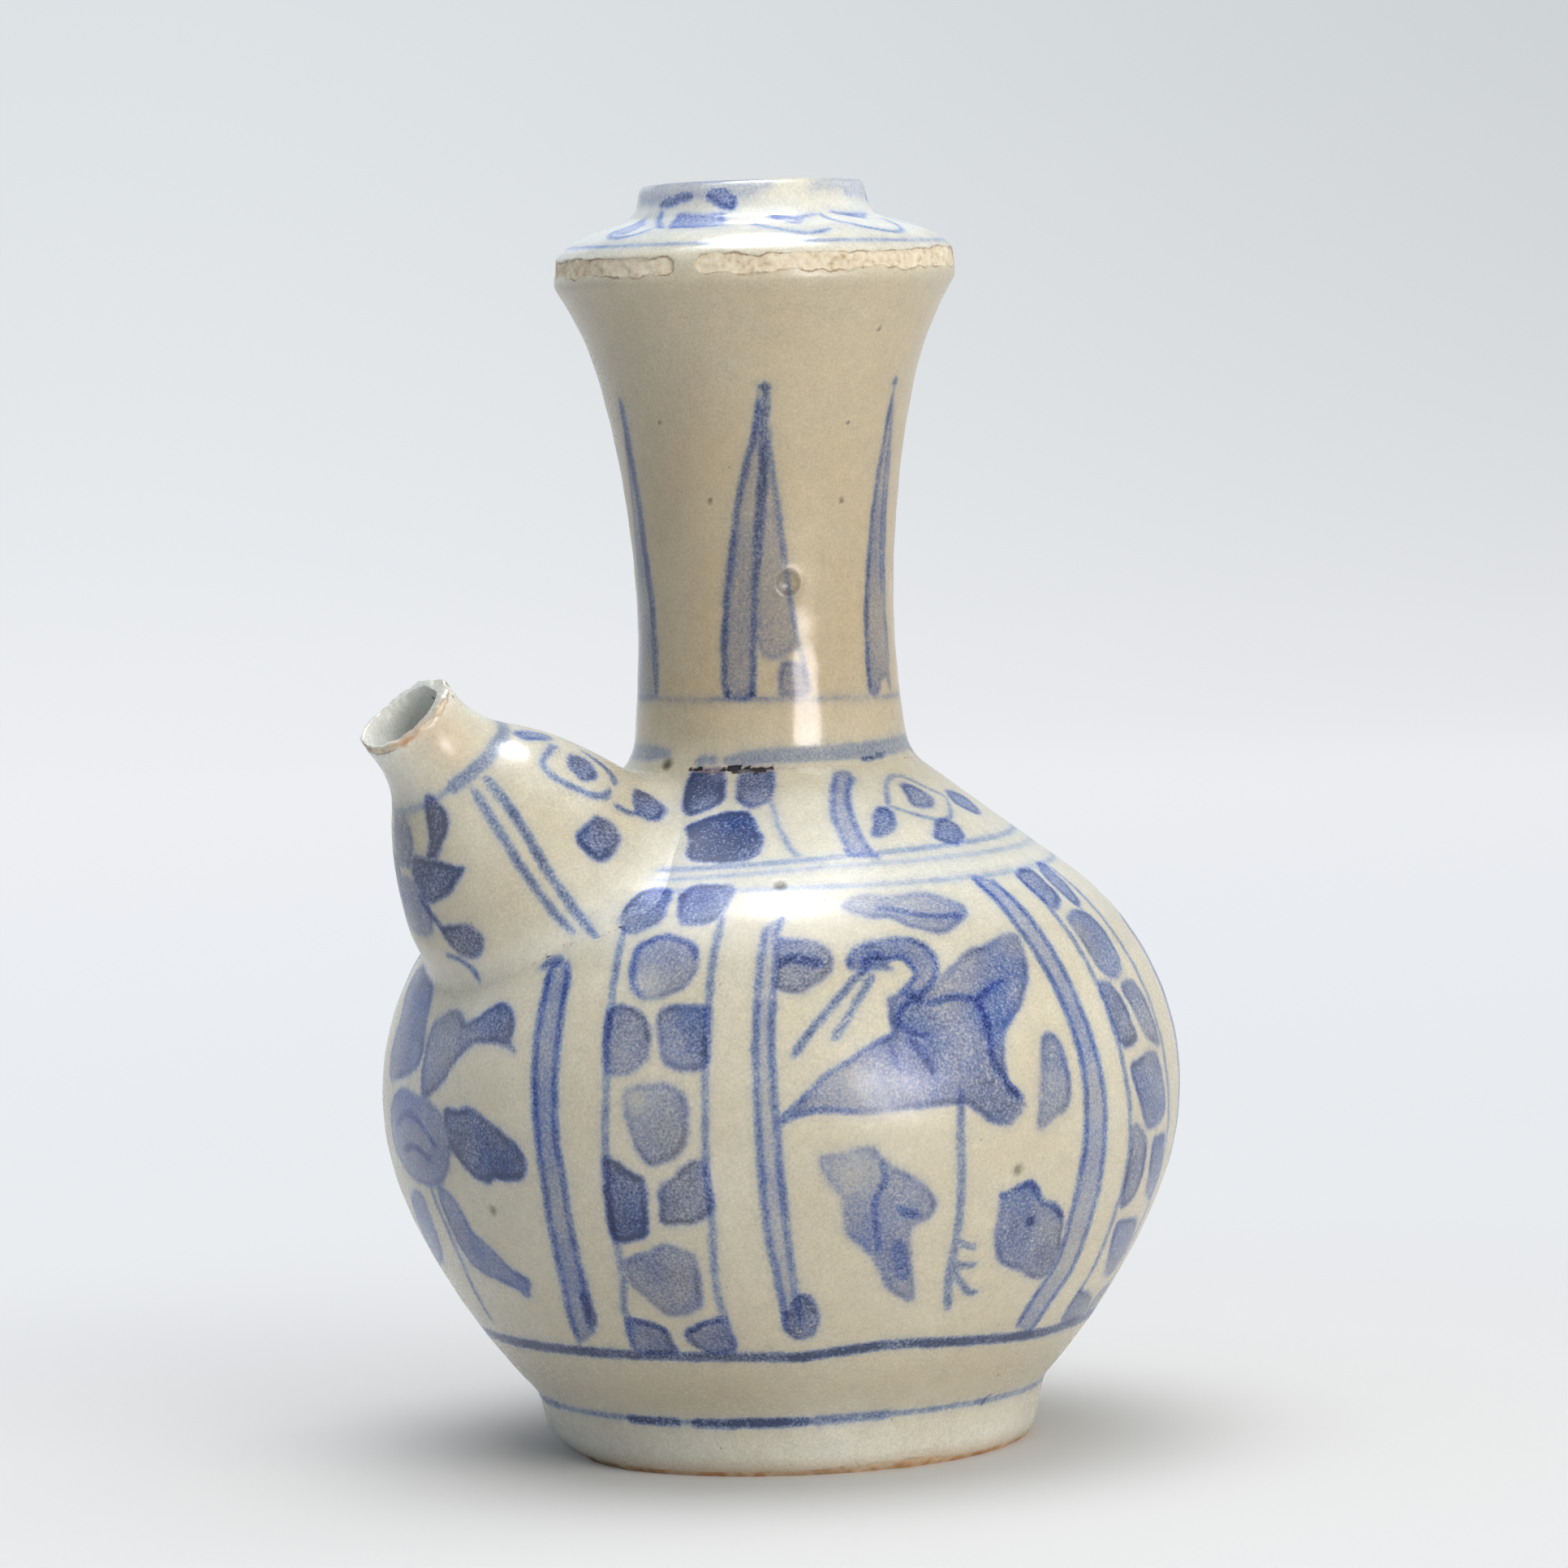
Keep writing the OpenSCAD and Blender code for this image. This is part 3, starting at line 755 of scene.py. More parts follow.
crane = [
    wash(0.62, (62, 85.3), (64, 85.6), (67, 85.2), (69.5, 84.2), (70.6, 82.5), (70.3, 80.5), (68.8, 79),
         (67, 77.8), (65, 77), (61.3, 77.8), (61.5, 80)),
    line(1.4, 0.72, (61.8, 81.6), (64, 82.4), (66.5, 82), (69, 81.4)),
    wash(0.42, (73.8, 91), (75.5, 92.3), (78, 93), (80.5, 93.2), (83, 92.6), (86, 92.8), (90, 93),
         (93, 92.3), (95.5, 91), (97.3, 89.8), (97.5, 88.5), (96.5, 87.5), (93.5, 86), (91.5, 85.2),
         (89, 85.2), (86.5, 86), (84.2, 87), (82.5, 88.2), (80, 88.5), (77.5, 89), (75.2, 90)),
    line(0.6, 0.6, (80.5, 90.5), (84, 89.8), (88, 88.6), (92, 88), (95.5, 88)),
    wash(0.46, (73, 80.5), (73.8, 82.5), (76, 83.8), (79, 84.2), (82, 84.5), (85, 84), (87, 82.2),
         (87.3, 80.2), (86.5, 78.2), (84.5, 76.2), (82, 75), (79.5, 75), (80.5, 76.7), (83, 78.5),
         (82.8, 80), (82, 81.3), (80, 81.4), (79.4, 80.6), (80, 79.8), (77, 79.9), (75, 79.8)),
    line(0.8, 0.65, (75.5, 80), (73, 78.2), (70, 75.2), (67, 72.2), (65, 69.8), (63.8, 68)),
    line(0.8, 0.6, (76.5, 79), (75, 77.2), (73, 74.8), (71, 72), (69.5, 70.2)),
    wash(0.55, (78.5, 75.8), (82, 76.2), (85, 77), (88, 78.5), (91, 80.3), (94, 82), (97, 82.4),
         (100, 83.3), (102.5, 84), (104.5, 83.8), (105, 82.5), (104, 79.5), (103, 77), (101.5, 75),
         (99.5, 72.8), (97.5, 71), (96, 69.5), (95.2, 67.5), (94.8, 64.5), (95.5, 62), (97.5, 59.5),
         (95.5, 57), (93.5, 56.7), (91.5, 57.5), (88, 60), (84, 60.2), (76, 59.8), (72, 59.8),
         (68, 60.3), (64.5, 60), (61.3, 58.8), *tail_edge, (78, 73)),
    line(0.6, 0.42, (61.3, 59), (64.5, 60.2), (68, 60.6), (72, 60)),
    line(0.4, 0.55, *tail_edge),
    line(0.6, 0.62, (73, 81), (74.3, 83.2), (77, 84.2), (80, 84.6), (83, 84.6), (85.5, 83.8),
         (87.2, 82), (87.3, 80), (86.2, 78), (84.3, 76.4), (82.3, 75.4), (80.2, 74), (79.3, 72.6),
         (79.8, 71.2), (81.5, 70.3), (83.5, 69.8)),
    line(0.5, 0.6, (79.6, 81.5), (81.8, 81.5), (83, 80), (83.2, 78.6), (81.8, 77.2), (80.3, 76.2)),
    line(1.4, 0.66, (75.5, 81.3), (77, 81.8), (78.6, 82)),
    line(0.8, 0.75, (80.3, 69.3), (81.5, 68.2), (82.7, 66.4), (83.5, 64.5)),
    line(0.5, 0.55, (77.5, 68.8), (78, 67), (78.8, 65.2)),
    line(0.9, 0.7, (92.2, 74.4), (93, 71.8), (93, 68.5), (93, 65.8), (94, 63.6), (95.5, 61.5),
         (97.2, 60.2)),
    line(0.7, 0.62, (83.3, 74.4), (86, 74.6), (88.5, 75.1), (90.5, 74.8), (92.2, 74.4), (94.3, 75.4),
         (97.5, 76.9)),
    line(1.3, 0.85, (81.4, 75.9), (83.4, 74.8)),
    line(1.0, 0.5, (87.3, 62), (87, 56), (87.2, 52), (87.5, 44), (87.6, 40), (87.5, 37), (87.7, 34),
         (88.3, 31), (89, 29)),
    line(0.7, 0.55, (88, 40.5), (89.5, 39.5), (91, 38.8)),
    line(0.7, 0.6, (87.5, 38), (88.5, 36.5), (90.5, 36), (91.8, 36.1)),
    line(0.7, 0.55, (87.8, 36.5), (89, 34.5), (90.5, 32.8), (92, 31.5), (93.5, 31.3)),
    wash(0.42, (67, 54.2), (69, 54.5), (71.5, 55), (74, 55.2), (75.5, 53.8), (77, 52.2), (79.5, 51),
         (81.5, 49.5), (83, 47.8), (83.7, 46), (82.8, 44.3), (81.5, 43.8), (80.3, 42.5), (80.5, 40),
         (81, 37), (81.8, 34), (82.2, 31), (80.5, 31.5), (78.8, 32.5), (77.2, 34), (76, 36), (75, 38),
         (73.5, 40), (71.8, 41.5), (70.3, 43.2), (70, 46), (69.8, 48.3), (68.3, 49.8), (67.5, 51.5),
         (66.8, 53)),
    line(0.6, 0.6, (75.3, 53), (76, 50.5), (74.8, 48.5), (74.5, 46), (75, 43), (75.5, 40)),
    line(1.2, 0.5, (78, 46.2), (79.5, 45.4), (81, 45)),
    line(1.8, 0.36, (78.5, 41), (79, 38), (80, 35)),
    wash(0.55, (94, 47), (95.5, 46.5), (97.5, 47.8), (99, 48.2), (100.3, 47), (101.8, 45), (104, 44.2),
         (106, 43.2), (107.3, 41.5), (108, 39), (108.8, 36.5), (108.5, 34), (107.5, 32.3),
         (105.5, 32.2), (103, 33), (100.5, 34.3), (98.5, 35), (96.5, 36), (95, 38), (94.3, 40.5),
         (94.2, 43.5)),
    line(0.7, 0.78, (94.3, 46.6), (97.5, 47.6), (99, 47.9), (100.5, 46.6), (102, 44.9), (104.5, 43.9),
         (107, 41.6)),
    line(1.2, 0.85, (100, 42.2), (100.8, 41.8)),
    wash(0.5, (103, 68.7), (104.5, 68.2), (105.6, 66.5), (106, 64), (106.3, 61.5), (106, 59),
         (104.8, 57.5), (103, 57), (101.3, 55.8), (100, 55.5), (99.8, 58), (100.5, 61), (101, 64),
         (101.5, 66.5), (102.2, 68)),
]
flower_frame_side = bar(
    0.38, 0.8, 0.55,
    ((23.5, 81.5), (24, 78), (24.7, 70), (25.5, 60), (26, 54), (26.2, 50), (25.5, 42), (24.3, 34),
     (23.5, 31), (22.8, 28), (22, 24)),
    ((26.5, 82), (27.8, 79), (28.2, 76), (28.8, 68), (29.2, 56), (29.8, 52), (29.4, 44), (28.8, 36),
     (28, 30), (27, 28), (26, 26)))
flower_frame_side += [
    line(1.8, 0.75, (27.6, 33), (27.5, 30), (26.8, 27.5)),
    line(1.6, 0.6, (22, 81), (23.5, 82), (25, 82.2)),
]
flower_spray = [
    wash(0.62, (-17, 78.5), (-12, 78.8), (-7, 77.5), (-4, 76), (-2, 71), (-1, 66), (-5, 63.5),
         (-10, 62.5), (-14, 62), (-15.5, 66), (-15, 71), (-18, 75)),
    wash(0.64, (0, 70), (2, 72.3), (5.5, 73.6), (8, 72.8), (9.5, 72), (12, 73), (15, 75), (18, 74.8),
         (19.8, 72.5), (20, 70), (21, 68.5), (18.5, 69.3), (15, 69.5), (12, 69), (10, 67.5), (8, 65.5),
         (6.5, 63.5), (2, 61), (0, 62)),
    wash(0.84, (7, 59.5), (10, 59.8), (13, 60.2), (16, 59), (19, 57.5), (22, 55.5), (23.5, 53),
         (22.5, 51), (19.5, 50.5), (17, 50.6), (15, 49.8), (12.5, 50.5), (10.5, 52), (9, 53.5),
         (7.5, 55)),
    wash(0.5, (-14, 56), (-11, 60), (-6, 61.5), (-1, 61), (4, 60), (7, 58), (8, 55), (6.5, 51),
         (3, 48.5), (-2, 48), (-8, 49), (-12.5, 52)),
    wash(0.52, (2, 48), (6, 47), (7.5, 44), (8, 42), (10, 40.5), (12.5, 38.5), (14, 36.5), (16, 35.5),
         (17.3, 34.5), (16.5, 33), (15, 31.5), (13.5, 32.5), (11, 33.5), (8, 34.3), (5, 35), (3, 36.5),
         (2, 40)),
    wash(0.5, (-4, 46), (-8, 46.5), (-12, 44), (-15, 40), (-17.5, 36), (-16, 33.5), (-12, 34.5),
         (-8, 36), (-5, 40)),
    line(0.8, 0.6, (0, 48), (0.5, 42), (0, 36), (-1.5, 30), (-2, 26)),
    line(0.7, 0.7, (-10, 56), (-5, 58), (0, 57), (4, 54)),
    line(0.7, 0.7, (-8, 52.5), (-3, 53.5), (2, 52)),
]
body_rings = [
    ring(0.6, 0.52, (-10, 9), (20, 9), (33, 8.8), (45, 8.7), (60, 8.9), (90, 9.2), (130, 9), (200, 9),
         (280, 9.1)),
    line(1.1, 1.05, (22.5, 8.9), (28, 8.8), (36.5, 8.75)),
    line(1.3, 1.05, (39, 8.75), (45, 8.7), (52, 8.8), (60, 8.9), (66, 9)),
    line(1.4, 0.5, (66, 9), (74, 9.1), (84, 9.2)),
    line(1.0, 0.6, (-18, 9), (-10, 9), (-2, 9)),
    line(1.2, 0.9, (190, 9), (204, 9.1), (222, 9.1)),
    line(0.6, 0.8, (109, 8.7), (111, 9.8)),
    ring(1.5, 0.9, (0, 22.3), (50, 22.4), (64, 22), (70, 22.7), (78, 23.4), (84, 23.2), (94, 22.6),
         (104, 22), (114, 21.5), (150, 21.6), (200, 22.4), (240, 22), (290, 22.7), (330, 22.2)),
    ring(0.7, 0.33, (39, 99.5), (60, 100.5), (80, 101.4), (110, 102), (150, 102.5), (230, 102),
         (320, 99.8), (0, 99)),
    ring(0.55, 0.2, (74, 99.4), (130, 99.6), (200, 99.5), (300, 97.4), (39, 97.5)),
    ring(0.6, 0.24, (70, 95.2), (110, 95), (150, 95.6), (250, 95.2), (300, 95.5), (0, 95)),
]
body_marks = body_rings + cobble_band + cobble_band_two + moved(cobble_band, 264.5, mirror=True)
body_marks += moved(cobble_band, 355.5, mirror=True)
body_marks += crane_frame + crane + moved(crane_frame + crane, 350.5, mirror=True)
body_marks += flower_frame_side + moved(flower_frame_side, 0, mirror=True) + flower_spray
body_marks += moved(flower_frame_side, 174) + moved(flower_frame_side, 174, mirror=True)
body_marks += moved(flower_spray, 174, mirror=True)
body_marks += shoulder_cobble + moved(shoulder_cobble, 0, mirror=True) + moved(shoulder_cobble, 135)
body_marks += shoulder_sprig + moved(shoulder_sprig, 0, mirror=True)

lappet_edge = ((53, 39.5), (49.5, 34), (47, 29), (45, 25), (43.5, 21), (42.5, 17), (42.5, 13))
lappet = [
    wash(0.34, (62, 52), (58, 45), *lappet_edge, (43.5, 10.4), (55, 10.3), (56.5, 18), (57.7, 26),
         (59.8, 33), (62.5, 42)),
    wash(0.28, (63.5, 46), (62.5, 42), (61, 37), (59.8, 33), (59, 30), (57.7, 26), (57.5, 22), (58, 17),
         (62, 15.5), (68, 15.6), (75, 18), (72, 27), (70.5, 31), (69, 36), (67, 41), (65.5, 46)),
    wash(0.4, (67, 10.2), (66.5, 13), (68, 14.8), (73, 15), (77, 14.4), (79.5, 12.5), (79, 10.2)),
    line(1.3, 0.7, (63, 54), (65.5, 54)),
    line(0.6, 0.6, (62, 53), (60, 48), (57, 44), *lappet_edge, (43.5, 10.2)),
    line(0.6, 0.58, (61, 37), (59.8, 33), (59, 30), (57.7, 26), (57, 22), (56.5, 18), (55, 10.3)),
    line(1.1, 0.66, (64.5, 54), (63.8, 48), (62.8, 42), (61.2, 37), (60, 33), (59, 29)),
    line(0.4, 0.42, (64.5, 51), (65.5, 46), (67, 41), (69, 36), (70.5, 31), (72, 27), (75, 19),
         (77, 16), (79, 13)),
    line(0.8, 0.9, (43.2, 11.2), (44.2, 10.3)),
    line(0.7, 0.85, (54.6, 11), (55.4, 10.2)),
    line(0.5, 0.36, (36, 10), (43.5, 10), (50, 9.8), (58, 9.8), (68, 9.8)),
]
lappet_left = [
    wash(0.42, (-0.6, 52.5), (-1.5, 45), (-1.6, 37), (-0.5, 30), (1.5, 24), (3, 17), (4.5, 10.3),
         (-22, 10.3), (-18, 20), (-13, 32), (-7, 43)),
    line(1.5, 0.6, (-0.6, 52.7), (-1.2, 48.2), (-2.4, 43), (-2.3, 37), (-1.6, 31), (0.7, 25), (2, 18.5),
         (3.9, 11)),
]
lappet_two_edge = ((119.5, 44), (117.5, 38), (115.5, 32), (113.5, 26), (112.3, 20), (111.5, 10))
lappet_two = [
    wash(0.36, (122, 52), *lappet_two_edge, (119, 10), (121, 11.5), (126, 11.5), (130, 10.5), (129, 24),
         (127, 44)),
    line(1.1, 0.6, (121.2, 54), (123.4, 54)),
    line(0.6, 0.56, (122, 53), (121, 48), *lappet_two_edge),
    line(0.5, 0.48, (124, 48), (124.5, 40), (124.5, 30), (125.5, 24)),
    line(0.5, 0.4, (127, 44), (128, 34), (129, 24), (131, 14)),
]
foot_band = [
    line(2.2, 0.27, (44, 1.2), (60, 1.7), (75, 1.8), (95, 1.8), (115, 1.9), (135, 2.1), (160, 2.2)),
    line(1.4, 0.3, (31, 1.2), (35, 1.3), (39, 1.2)),
    line(0.8, 0.8, (101, 0.4), (106, 0.7), (112, 1.0), (117, 1.3)),
]
neck_marks = [ring(0.4, 0.2, (-20, 10), (40, 9.8), (90, 9.5), (140, 8.9), (240, 9.4))]
neck_marks += lappet + lappet_left + lappet_two + moved(lappet, 120) + moved(lappet_two, 120)
neck_marks += moved(lappet, 240) + foot_band + moved(foot_band, 110) + moved(foot_band, 215)

scroll = [
    line(0.6, 0.42, (61, 11.5), (64, 10), (68, 9), (72, 8), (76, 7), (80, 6.6), (84, 7), (88, 7.8)),
    wash(0.4, (69, 14.5), (76, 14), (80, 13.5), (83, 13.8), (91, 14.2), (86, 13.3), (83, 12.3),
         (81, 11), (79, 10.3), (76, 10.8), (73, 12)),
]
hook = [
    line(0.6, 0.42, (94, 14), (95, 12), (97, 10.5), (101, 8.8), (105, 7.5), (110, 6.6), (115, 6.3),
         (119, 7), (122, 9), (125, 11.5)),
    wash(0.4, (101, 14.8), (105, 14), (113, 12.3), (116, 12.5), (120, 13.5), (125, 14.2), (110, 14.2)),
]
cloud = [
    line(0.6, 0.5, (1.5, 10), (4, 8.5), (8, 7.5), (12, 7.2), (17, 7.6), (20, 8.6), (22, 10)),
    wash(0.36, (1, 14), (4, 14.2), (9, 13.2), (13, 11.5), (14, 9), (10, 8.3), (5, 8.8), (2, 11)),
    line(0.6, 0.5, (13, 15.8), (16, 14), (20, 12.5), (24, 11), (27, 10.2)),
    wash(0.42, (25, 15), (30, 15.2), (42, 15), (48, 15.2), (50, 13), (50.5, 11), (48, 10.2), (43, 10),
         (33, 10), (30, 10.3), (27, 12)),
]
rim_lobes = [
    wash(0.55, (10, 16.8), (13, 18.2), (20, 19.2), (27, 19.8), (33, 19.2), (33, 17.8), (24, 17.1),
         (17, 16.5)),
    wash(0.58, (35, 18.3), (38, 20), (44, 20.4), (54, 19.8), (55, 17.8), (53, 15.8), (47, 16), (43, 17),
         (38, 17.6)),
    wash(0.14, (-14, 17.5), (-8, 20), (20, 20.6), (58, 20.6), (72, 19.8), (66, 18.4), (56, 17.4),
         (30, 17.6), (8, 17.2)),
    wash(0.1, (94, 18.4), (100, 20), (118, 20.4), (126, 19.6), (124, 17.4), (112, 18.4)),
]
mouth_marks = [
    ring(0.45, 0.34, (15, 4.8), (50, 4.8), (90, 4.4), (120, 3.8), (220, 4.4), (320, 4.7)),
    ring(1.2, 0.2, (0, 22.9), (120, 23), (240, 22.8)),
]
mouth_marks += cloud + scroll + hook + rim_lobes + moved(scroll, 72) + moved(hook, 76)
mouth_marks += moved(cloud, 212) + moved(scroll, 214) + moved(hook, 216) + moved(rim_lobes, 130)
mouth_marks += moved(rim_lobes, 246)

# Thin places and pools in the washes: deg, s, reach, change of tone
POOLS = (
    (71, 51.5, 3.4, -0.26),
    (79.5, 37, 4.0, 0.08),
    (41, 79.5, 3.2, -0.2),
    (46, 82, 2.8, 0.2),
    (39.5, 68.5, 2.4, -0.14),
    (50.5, 70.5, 2.0, 0.24),
    (46.5, 68.5, 2.4, -0.12),
    (41.5, 62.5, 2.4, -0.34),
    (45.5, 57.5, 3.0, 0.14),
    (46, 35, 3.2, 0.1),
    (99.5, 82, 2.6, -0.12),
    (96, 78.8, 2.6, 0.02),
    (57, 104, 2.2, -0.22),
    (48, 106, 4.5, 0.18),
    (40, 112.3, 1.8, -0.35),
    (56, 113.5, 2.0, -0.25),
    (88.5, 78.3, 1.8, -0.14),
    (80.5, 72, 1.8, 0.14),
    (83, 66, 2.2, 0.12),
    (91.5, 63, 3.0, 0.14),
    (87, 71.3, 3.4, 0.05),
    (72, 63, 4.5, -0.2),
    (64, 60.3, 2.2, -0.05),
    (94.5, 60.5, 3.0, 0.18),
    (86, 89.5, 3.0, -0.1),
    (103.4, 62, 2.0, -0.22),
    (105, 35.5, 3.0, 0.14),
    (17, 72.5, 2.6, 0.16),
    (2, 66, 3.0, -0.12),
    (78, 82.5, 2.4, 0.16),
)

vessel_marks = body_marks + moved(neck_marks, 0, NECK_S) + moved(mouth_marks, 0, MOUTH_S)

spout_side = [
    line(1.1, 0.62, (91, 26), (93, 24), (95, 20.5), (98, 17), (101, 13), (103, 9), (104.5, 5),
         (105.2, 1)),
    line(1.0, 0.55, (104, 26), (105.5, 23), (107.5, 20), (109.5, 16), (110.8, 12), (111.5, 6),
         (110.5, 2.5)),
    line(0.9, 0.55, (36, 20), (41, 20.8), (48, 21.2), (55, 21.5), (60, 21.3), (62.5, 19.5), (62, 17),
         (60.5, 14.5), (58.5, 12.5), (54, 11), (49, 10.8)),
    line(0.9, 0.5, (26, 15.5), (30, 13.5), (34, 11.8), (38, 10.8), (43, 10.4)),
    wash(0.72, (34.5, 15.5), (36, 17), (39, 17.8), (44, 17.8), (49, 17.3), (52.5, 16), (53.5, 14.8),
         (46, 13.3), (38, 14.2)),
    wash(0.72, (35, 6), (37, 7), (42, 7.2), (47, 6.8), (51, 6), (51.5, 4.5), (49, 3.3), (45, 2.8),
         (40, 3), (36, 4.5)),
    line(0.7, 0.55, (51, 5.5), (54, 7), (56, 9)),
    wash(0.72, (66, 8.5), (68, 10.5), (72, 11), (78, 11.2), (83, 10.8), (84.5, 9), (83.5, 6.5), (79, 6),
         (70, 6), (67, 7)),
    wash(0.42, (22, 21), (26, 24), (32, 25.8), (38, 26), (44, 25), (40, 23), (33, 21.5), (27, 20.5)),
]
spout_under = [
    wash(0.8, (130, 26), (134, 28.3), (140, 29), (145, 28), (147, 26.5), (149, 24), (153, 22),
         (156, 20.8), (147, 20.8), (142, 22), (136, 23), (131, 24.5)),
    wash(0.86, (135, 17.5), (140, 18.3), (146, 19.5), (152, 20.3), (165, 21.5), (171, 21), (173, 19),
         (172, 16.5), (168, 14.8), (155, 15), (148, 15.4), (143, 16.2)),
    line(0.8, 0.6, (171, 16), (168, 14), (164, 12), (162, 10.5)),
    wash(0.8, (143.5, 7.5), (145, 9.5), (149, 10.4), (155, 10.9), (161, 11), (163, 10), (161, 8),
         (158, 6.3), (154, 5.6), (149, 5.5)),
    line(0.7, 0.6, (155.5, 2.5), (157, 4), (160, 5.5), (164, 6.6), (167, 6.8)),
    wash(0.5, (176, 22), (178, 25), (184, 27), (192, 27), (196, 24), (192, 21.5), (185, 20)),
    wash(0.45, (176, 18), (184, 18.5), (192, 18), (197, 15), (193, 11), (184, 10), (178, 12)),
]
nozzle_ring = [
    line(1.8, 0.39, (44, 27.7), (60, 27.7), (80, 27.8), (100, 28), (120, 28.1)),
    line(1.5, 0.3, (10, 27.6), (30, 27.6), (48, 27.7)),
    line(0.7, 0.24, (116, 28), (140, 28.1), (170, 28), (190, 27.9)),
]
spout_marks = nozzle_ring + moved(nozzle_ring, 0, mirror=True)
spout_marks += spout_side + moved(spout_side, 0, mirror=True)
spout_marks += spout_under + moved(spout_under, 362, mirror=True)


def curve(points, closed):
    """Smooth run through the points, with four steps between neighbours."""
    p = np.array(points, float)
    if len(p) == 2:
        return p
    if closed:
        before = np.roll(p, 1, axis=0)
        after = np.roll(p, -1, axis=0)
        last = np.roll(p, -2, axis=0)
    else:
        ends = np.concatenate([[2 * p[0] - p[1]], p, [2 * p[-1] - p[-2]]])
        before, p, after, last = ends[:-3], ends[1:-2], ends[2:-1], ends[3:]
    run = []
    for a in (0, 0.25, 0.5, 0.75):
        run.append(0.5 * (2 * p + (after - before) * a + (2 * before - 5 * p + 4 * after - last) * a ** 2
                          + (3 * p - before - 3 * after + last) * a ** 3))
    run = np.stack(run, axis=1).reshape(-1, 2)
    return run if closed else np.concatenate([run, [points[-1]]])


def paint(deg, s, mm_per_deg, marks, pools):
    """Distance to the nearest line and into the nearest wash at each point, and how dark they are."""
    found = {"line": np.full(len(deg), FAR), "wash": np.full(len(deg), FAR)}
    tones = {"line": np.zeros(len(deg)), "wash": np.zeros(len(deg))}

    def keep(kind, which, distance, tone):
        nearer = distance < found[kind][which]
        found[kind][which[nearer]] = distance[nearer]
        tones[kind][which[nearer]] = tone

    for m in marks:
        if m["kind"] == "ring":
            x, y = np.array(m["points"], float).T
            d = np.abs(s - np.interp(deg, x, y, period=360)) - m["width"] / 2
            which = np.nonzero(d < FAR)[0]
            keep("line", which, d[which], m["tone"])
            continue
        closed = m["kind"] == "wash"
        run = curve(m["points"], closed)
        low, high = run.min(axis=0), run.max(axis=0)
        mid = (low[0] + high[0]) / 2
        rel = apart(deg, mid)
        near = (np.abs(rel) - (high[0] - mid)) * mm_per_deg < FAR
        which = np.nonzero(near & (s > low[1] - FAR) & (s < high[1] + FAR))[0]
        if len(which) == 0:
            continue
        ends = np.concatenate([run, run[:1]]) if closed else run
        best = []
        for group in np.array_split(which, max(1, len(which) * len(ends) // 2000000)):
            x = (ends[None, :, 0] - mid - rel[group][:, None]) * mm_per_deg[group][:, None]
            y = ends[None, :, 1] - s[group][:, None]
            ax, bx, ay, by = x[:, :-1], x[:, 1:], y[:, :-1], y[:, 1:]
            ux, uy = bx - ax, by - ay
            part = unit(-(ax * ux + ay * uy) / (ux * ux + uy * uy + 1e-9))
            away = (ax + part * ux) ** 2 + (ay + part * uy) ** 2
            at = away.argmin(axis=1)
            each = np.arange(len(group))
            d = np.sqrt(away[each, at])
            if closed:
                crossing = (ay > 0) != (by > 0)
                meet = ax - ay * ux / np.where(crossing, uy, 1)
                d = np.where((crossing & (meet > 0)).sum(axis=1) % 2 == 1, -d, d)
            else:
                along = (at + part[each, at]) / ux.shape[1]
                taper = unit(np.minimum(along, 1 - along) * 9 + 0.45)
                d = d - m["width"] / 2 * taper
            best.append(d)
        keep(m["kind"], which, np.concatenate(best), m["tone"])
    for pool_deg, pool_s, size, change in pools:
        d = np.hypot(apart(deg, pool_deg) * mm_per_deg, s - pool_s) / size
        tones["wash"] += change * bell(d, 1)
    return {**found, **{kind + "_tone": tone for kind, tone in tones.items()}}


# What each vertex carries: brushwork, bare clay, the glaze's tint with painted light and shade, and the
# way it is unrolled

def set_floats(mesh, values):
    for name, column in values.items():
        layer = mesh.attributes.new(name, "FLOAT", "POINT")
        layer.data.foreach_set("value", np.asarray(column, np.float32))


INNER_SHARE = 0.14
EDGE = 0.008


def unroll(mesh, deg, s, outside, strips):
    """Map for the bake: the outer surface in stacked strips, the rest in a narrow one below."""
    layer = mesh.uv_layers.new(name="OFBake")
    corner_vertex = np.zeros(len(mesh.loops), int)
    mesh.loops.foreach_get("vertex_index", corner_vertex)
    size = np.zeros(len(mesh.polygons), int)
    mesh.polygons.foreach_get("loop_total", size)
    face = np.repeat(np.arange(len(size)), size)
    turn = np.radians(deg)[corner_vertex]
    total = np.bincount(face, np.cos(turn)) + 1j * np.bincount(face, np.sin(turn))
    centre = np.degrees(np.angle(total)) % 360
    is_out = (np.bincount(face, outside[corner_vertex]) / size > 0.99)[face]
    corner_deg = centre[face] + apart(deg[corner_vertex], centre[face])
    width = 360 / strips
    strip = np.floor(centre / width)[face]
    s_low, s_high = s[outside].min(), s[outside].max()
    across = (corner_deg - strip * width) / width
    up = (s[corner_vertex] - s_low) / (s_high - s_low)
    tall = (1 - INNER_SHARE) / strips
    v_out = INNER_SHARE + tall * (strip + EDGE * strips + (1 - 2 * EDGE * strips) * up)
    hidden = s[~outside] if (~outside).any() else s
    up_in = (s[corner_vertex] - hidden.min()) / (np.ptp(hidden) + 1e-6)
    u = np.where(is_out, EDGE + (1 - 2 * EDGE) * across, EDGE + (1 - 2 * EDGE) * corner_deg / 361)
    v = np.where(is_out, v_out, (INNER_SHARE - EDGE) * unit(up_in))
    both = np.stack([unit(u), unit(v)], axis=1)
    layer.data.foreach_set("uv", both.ravel().astype(np.float32))
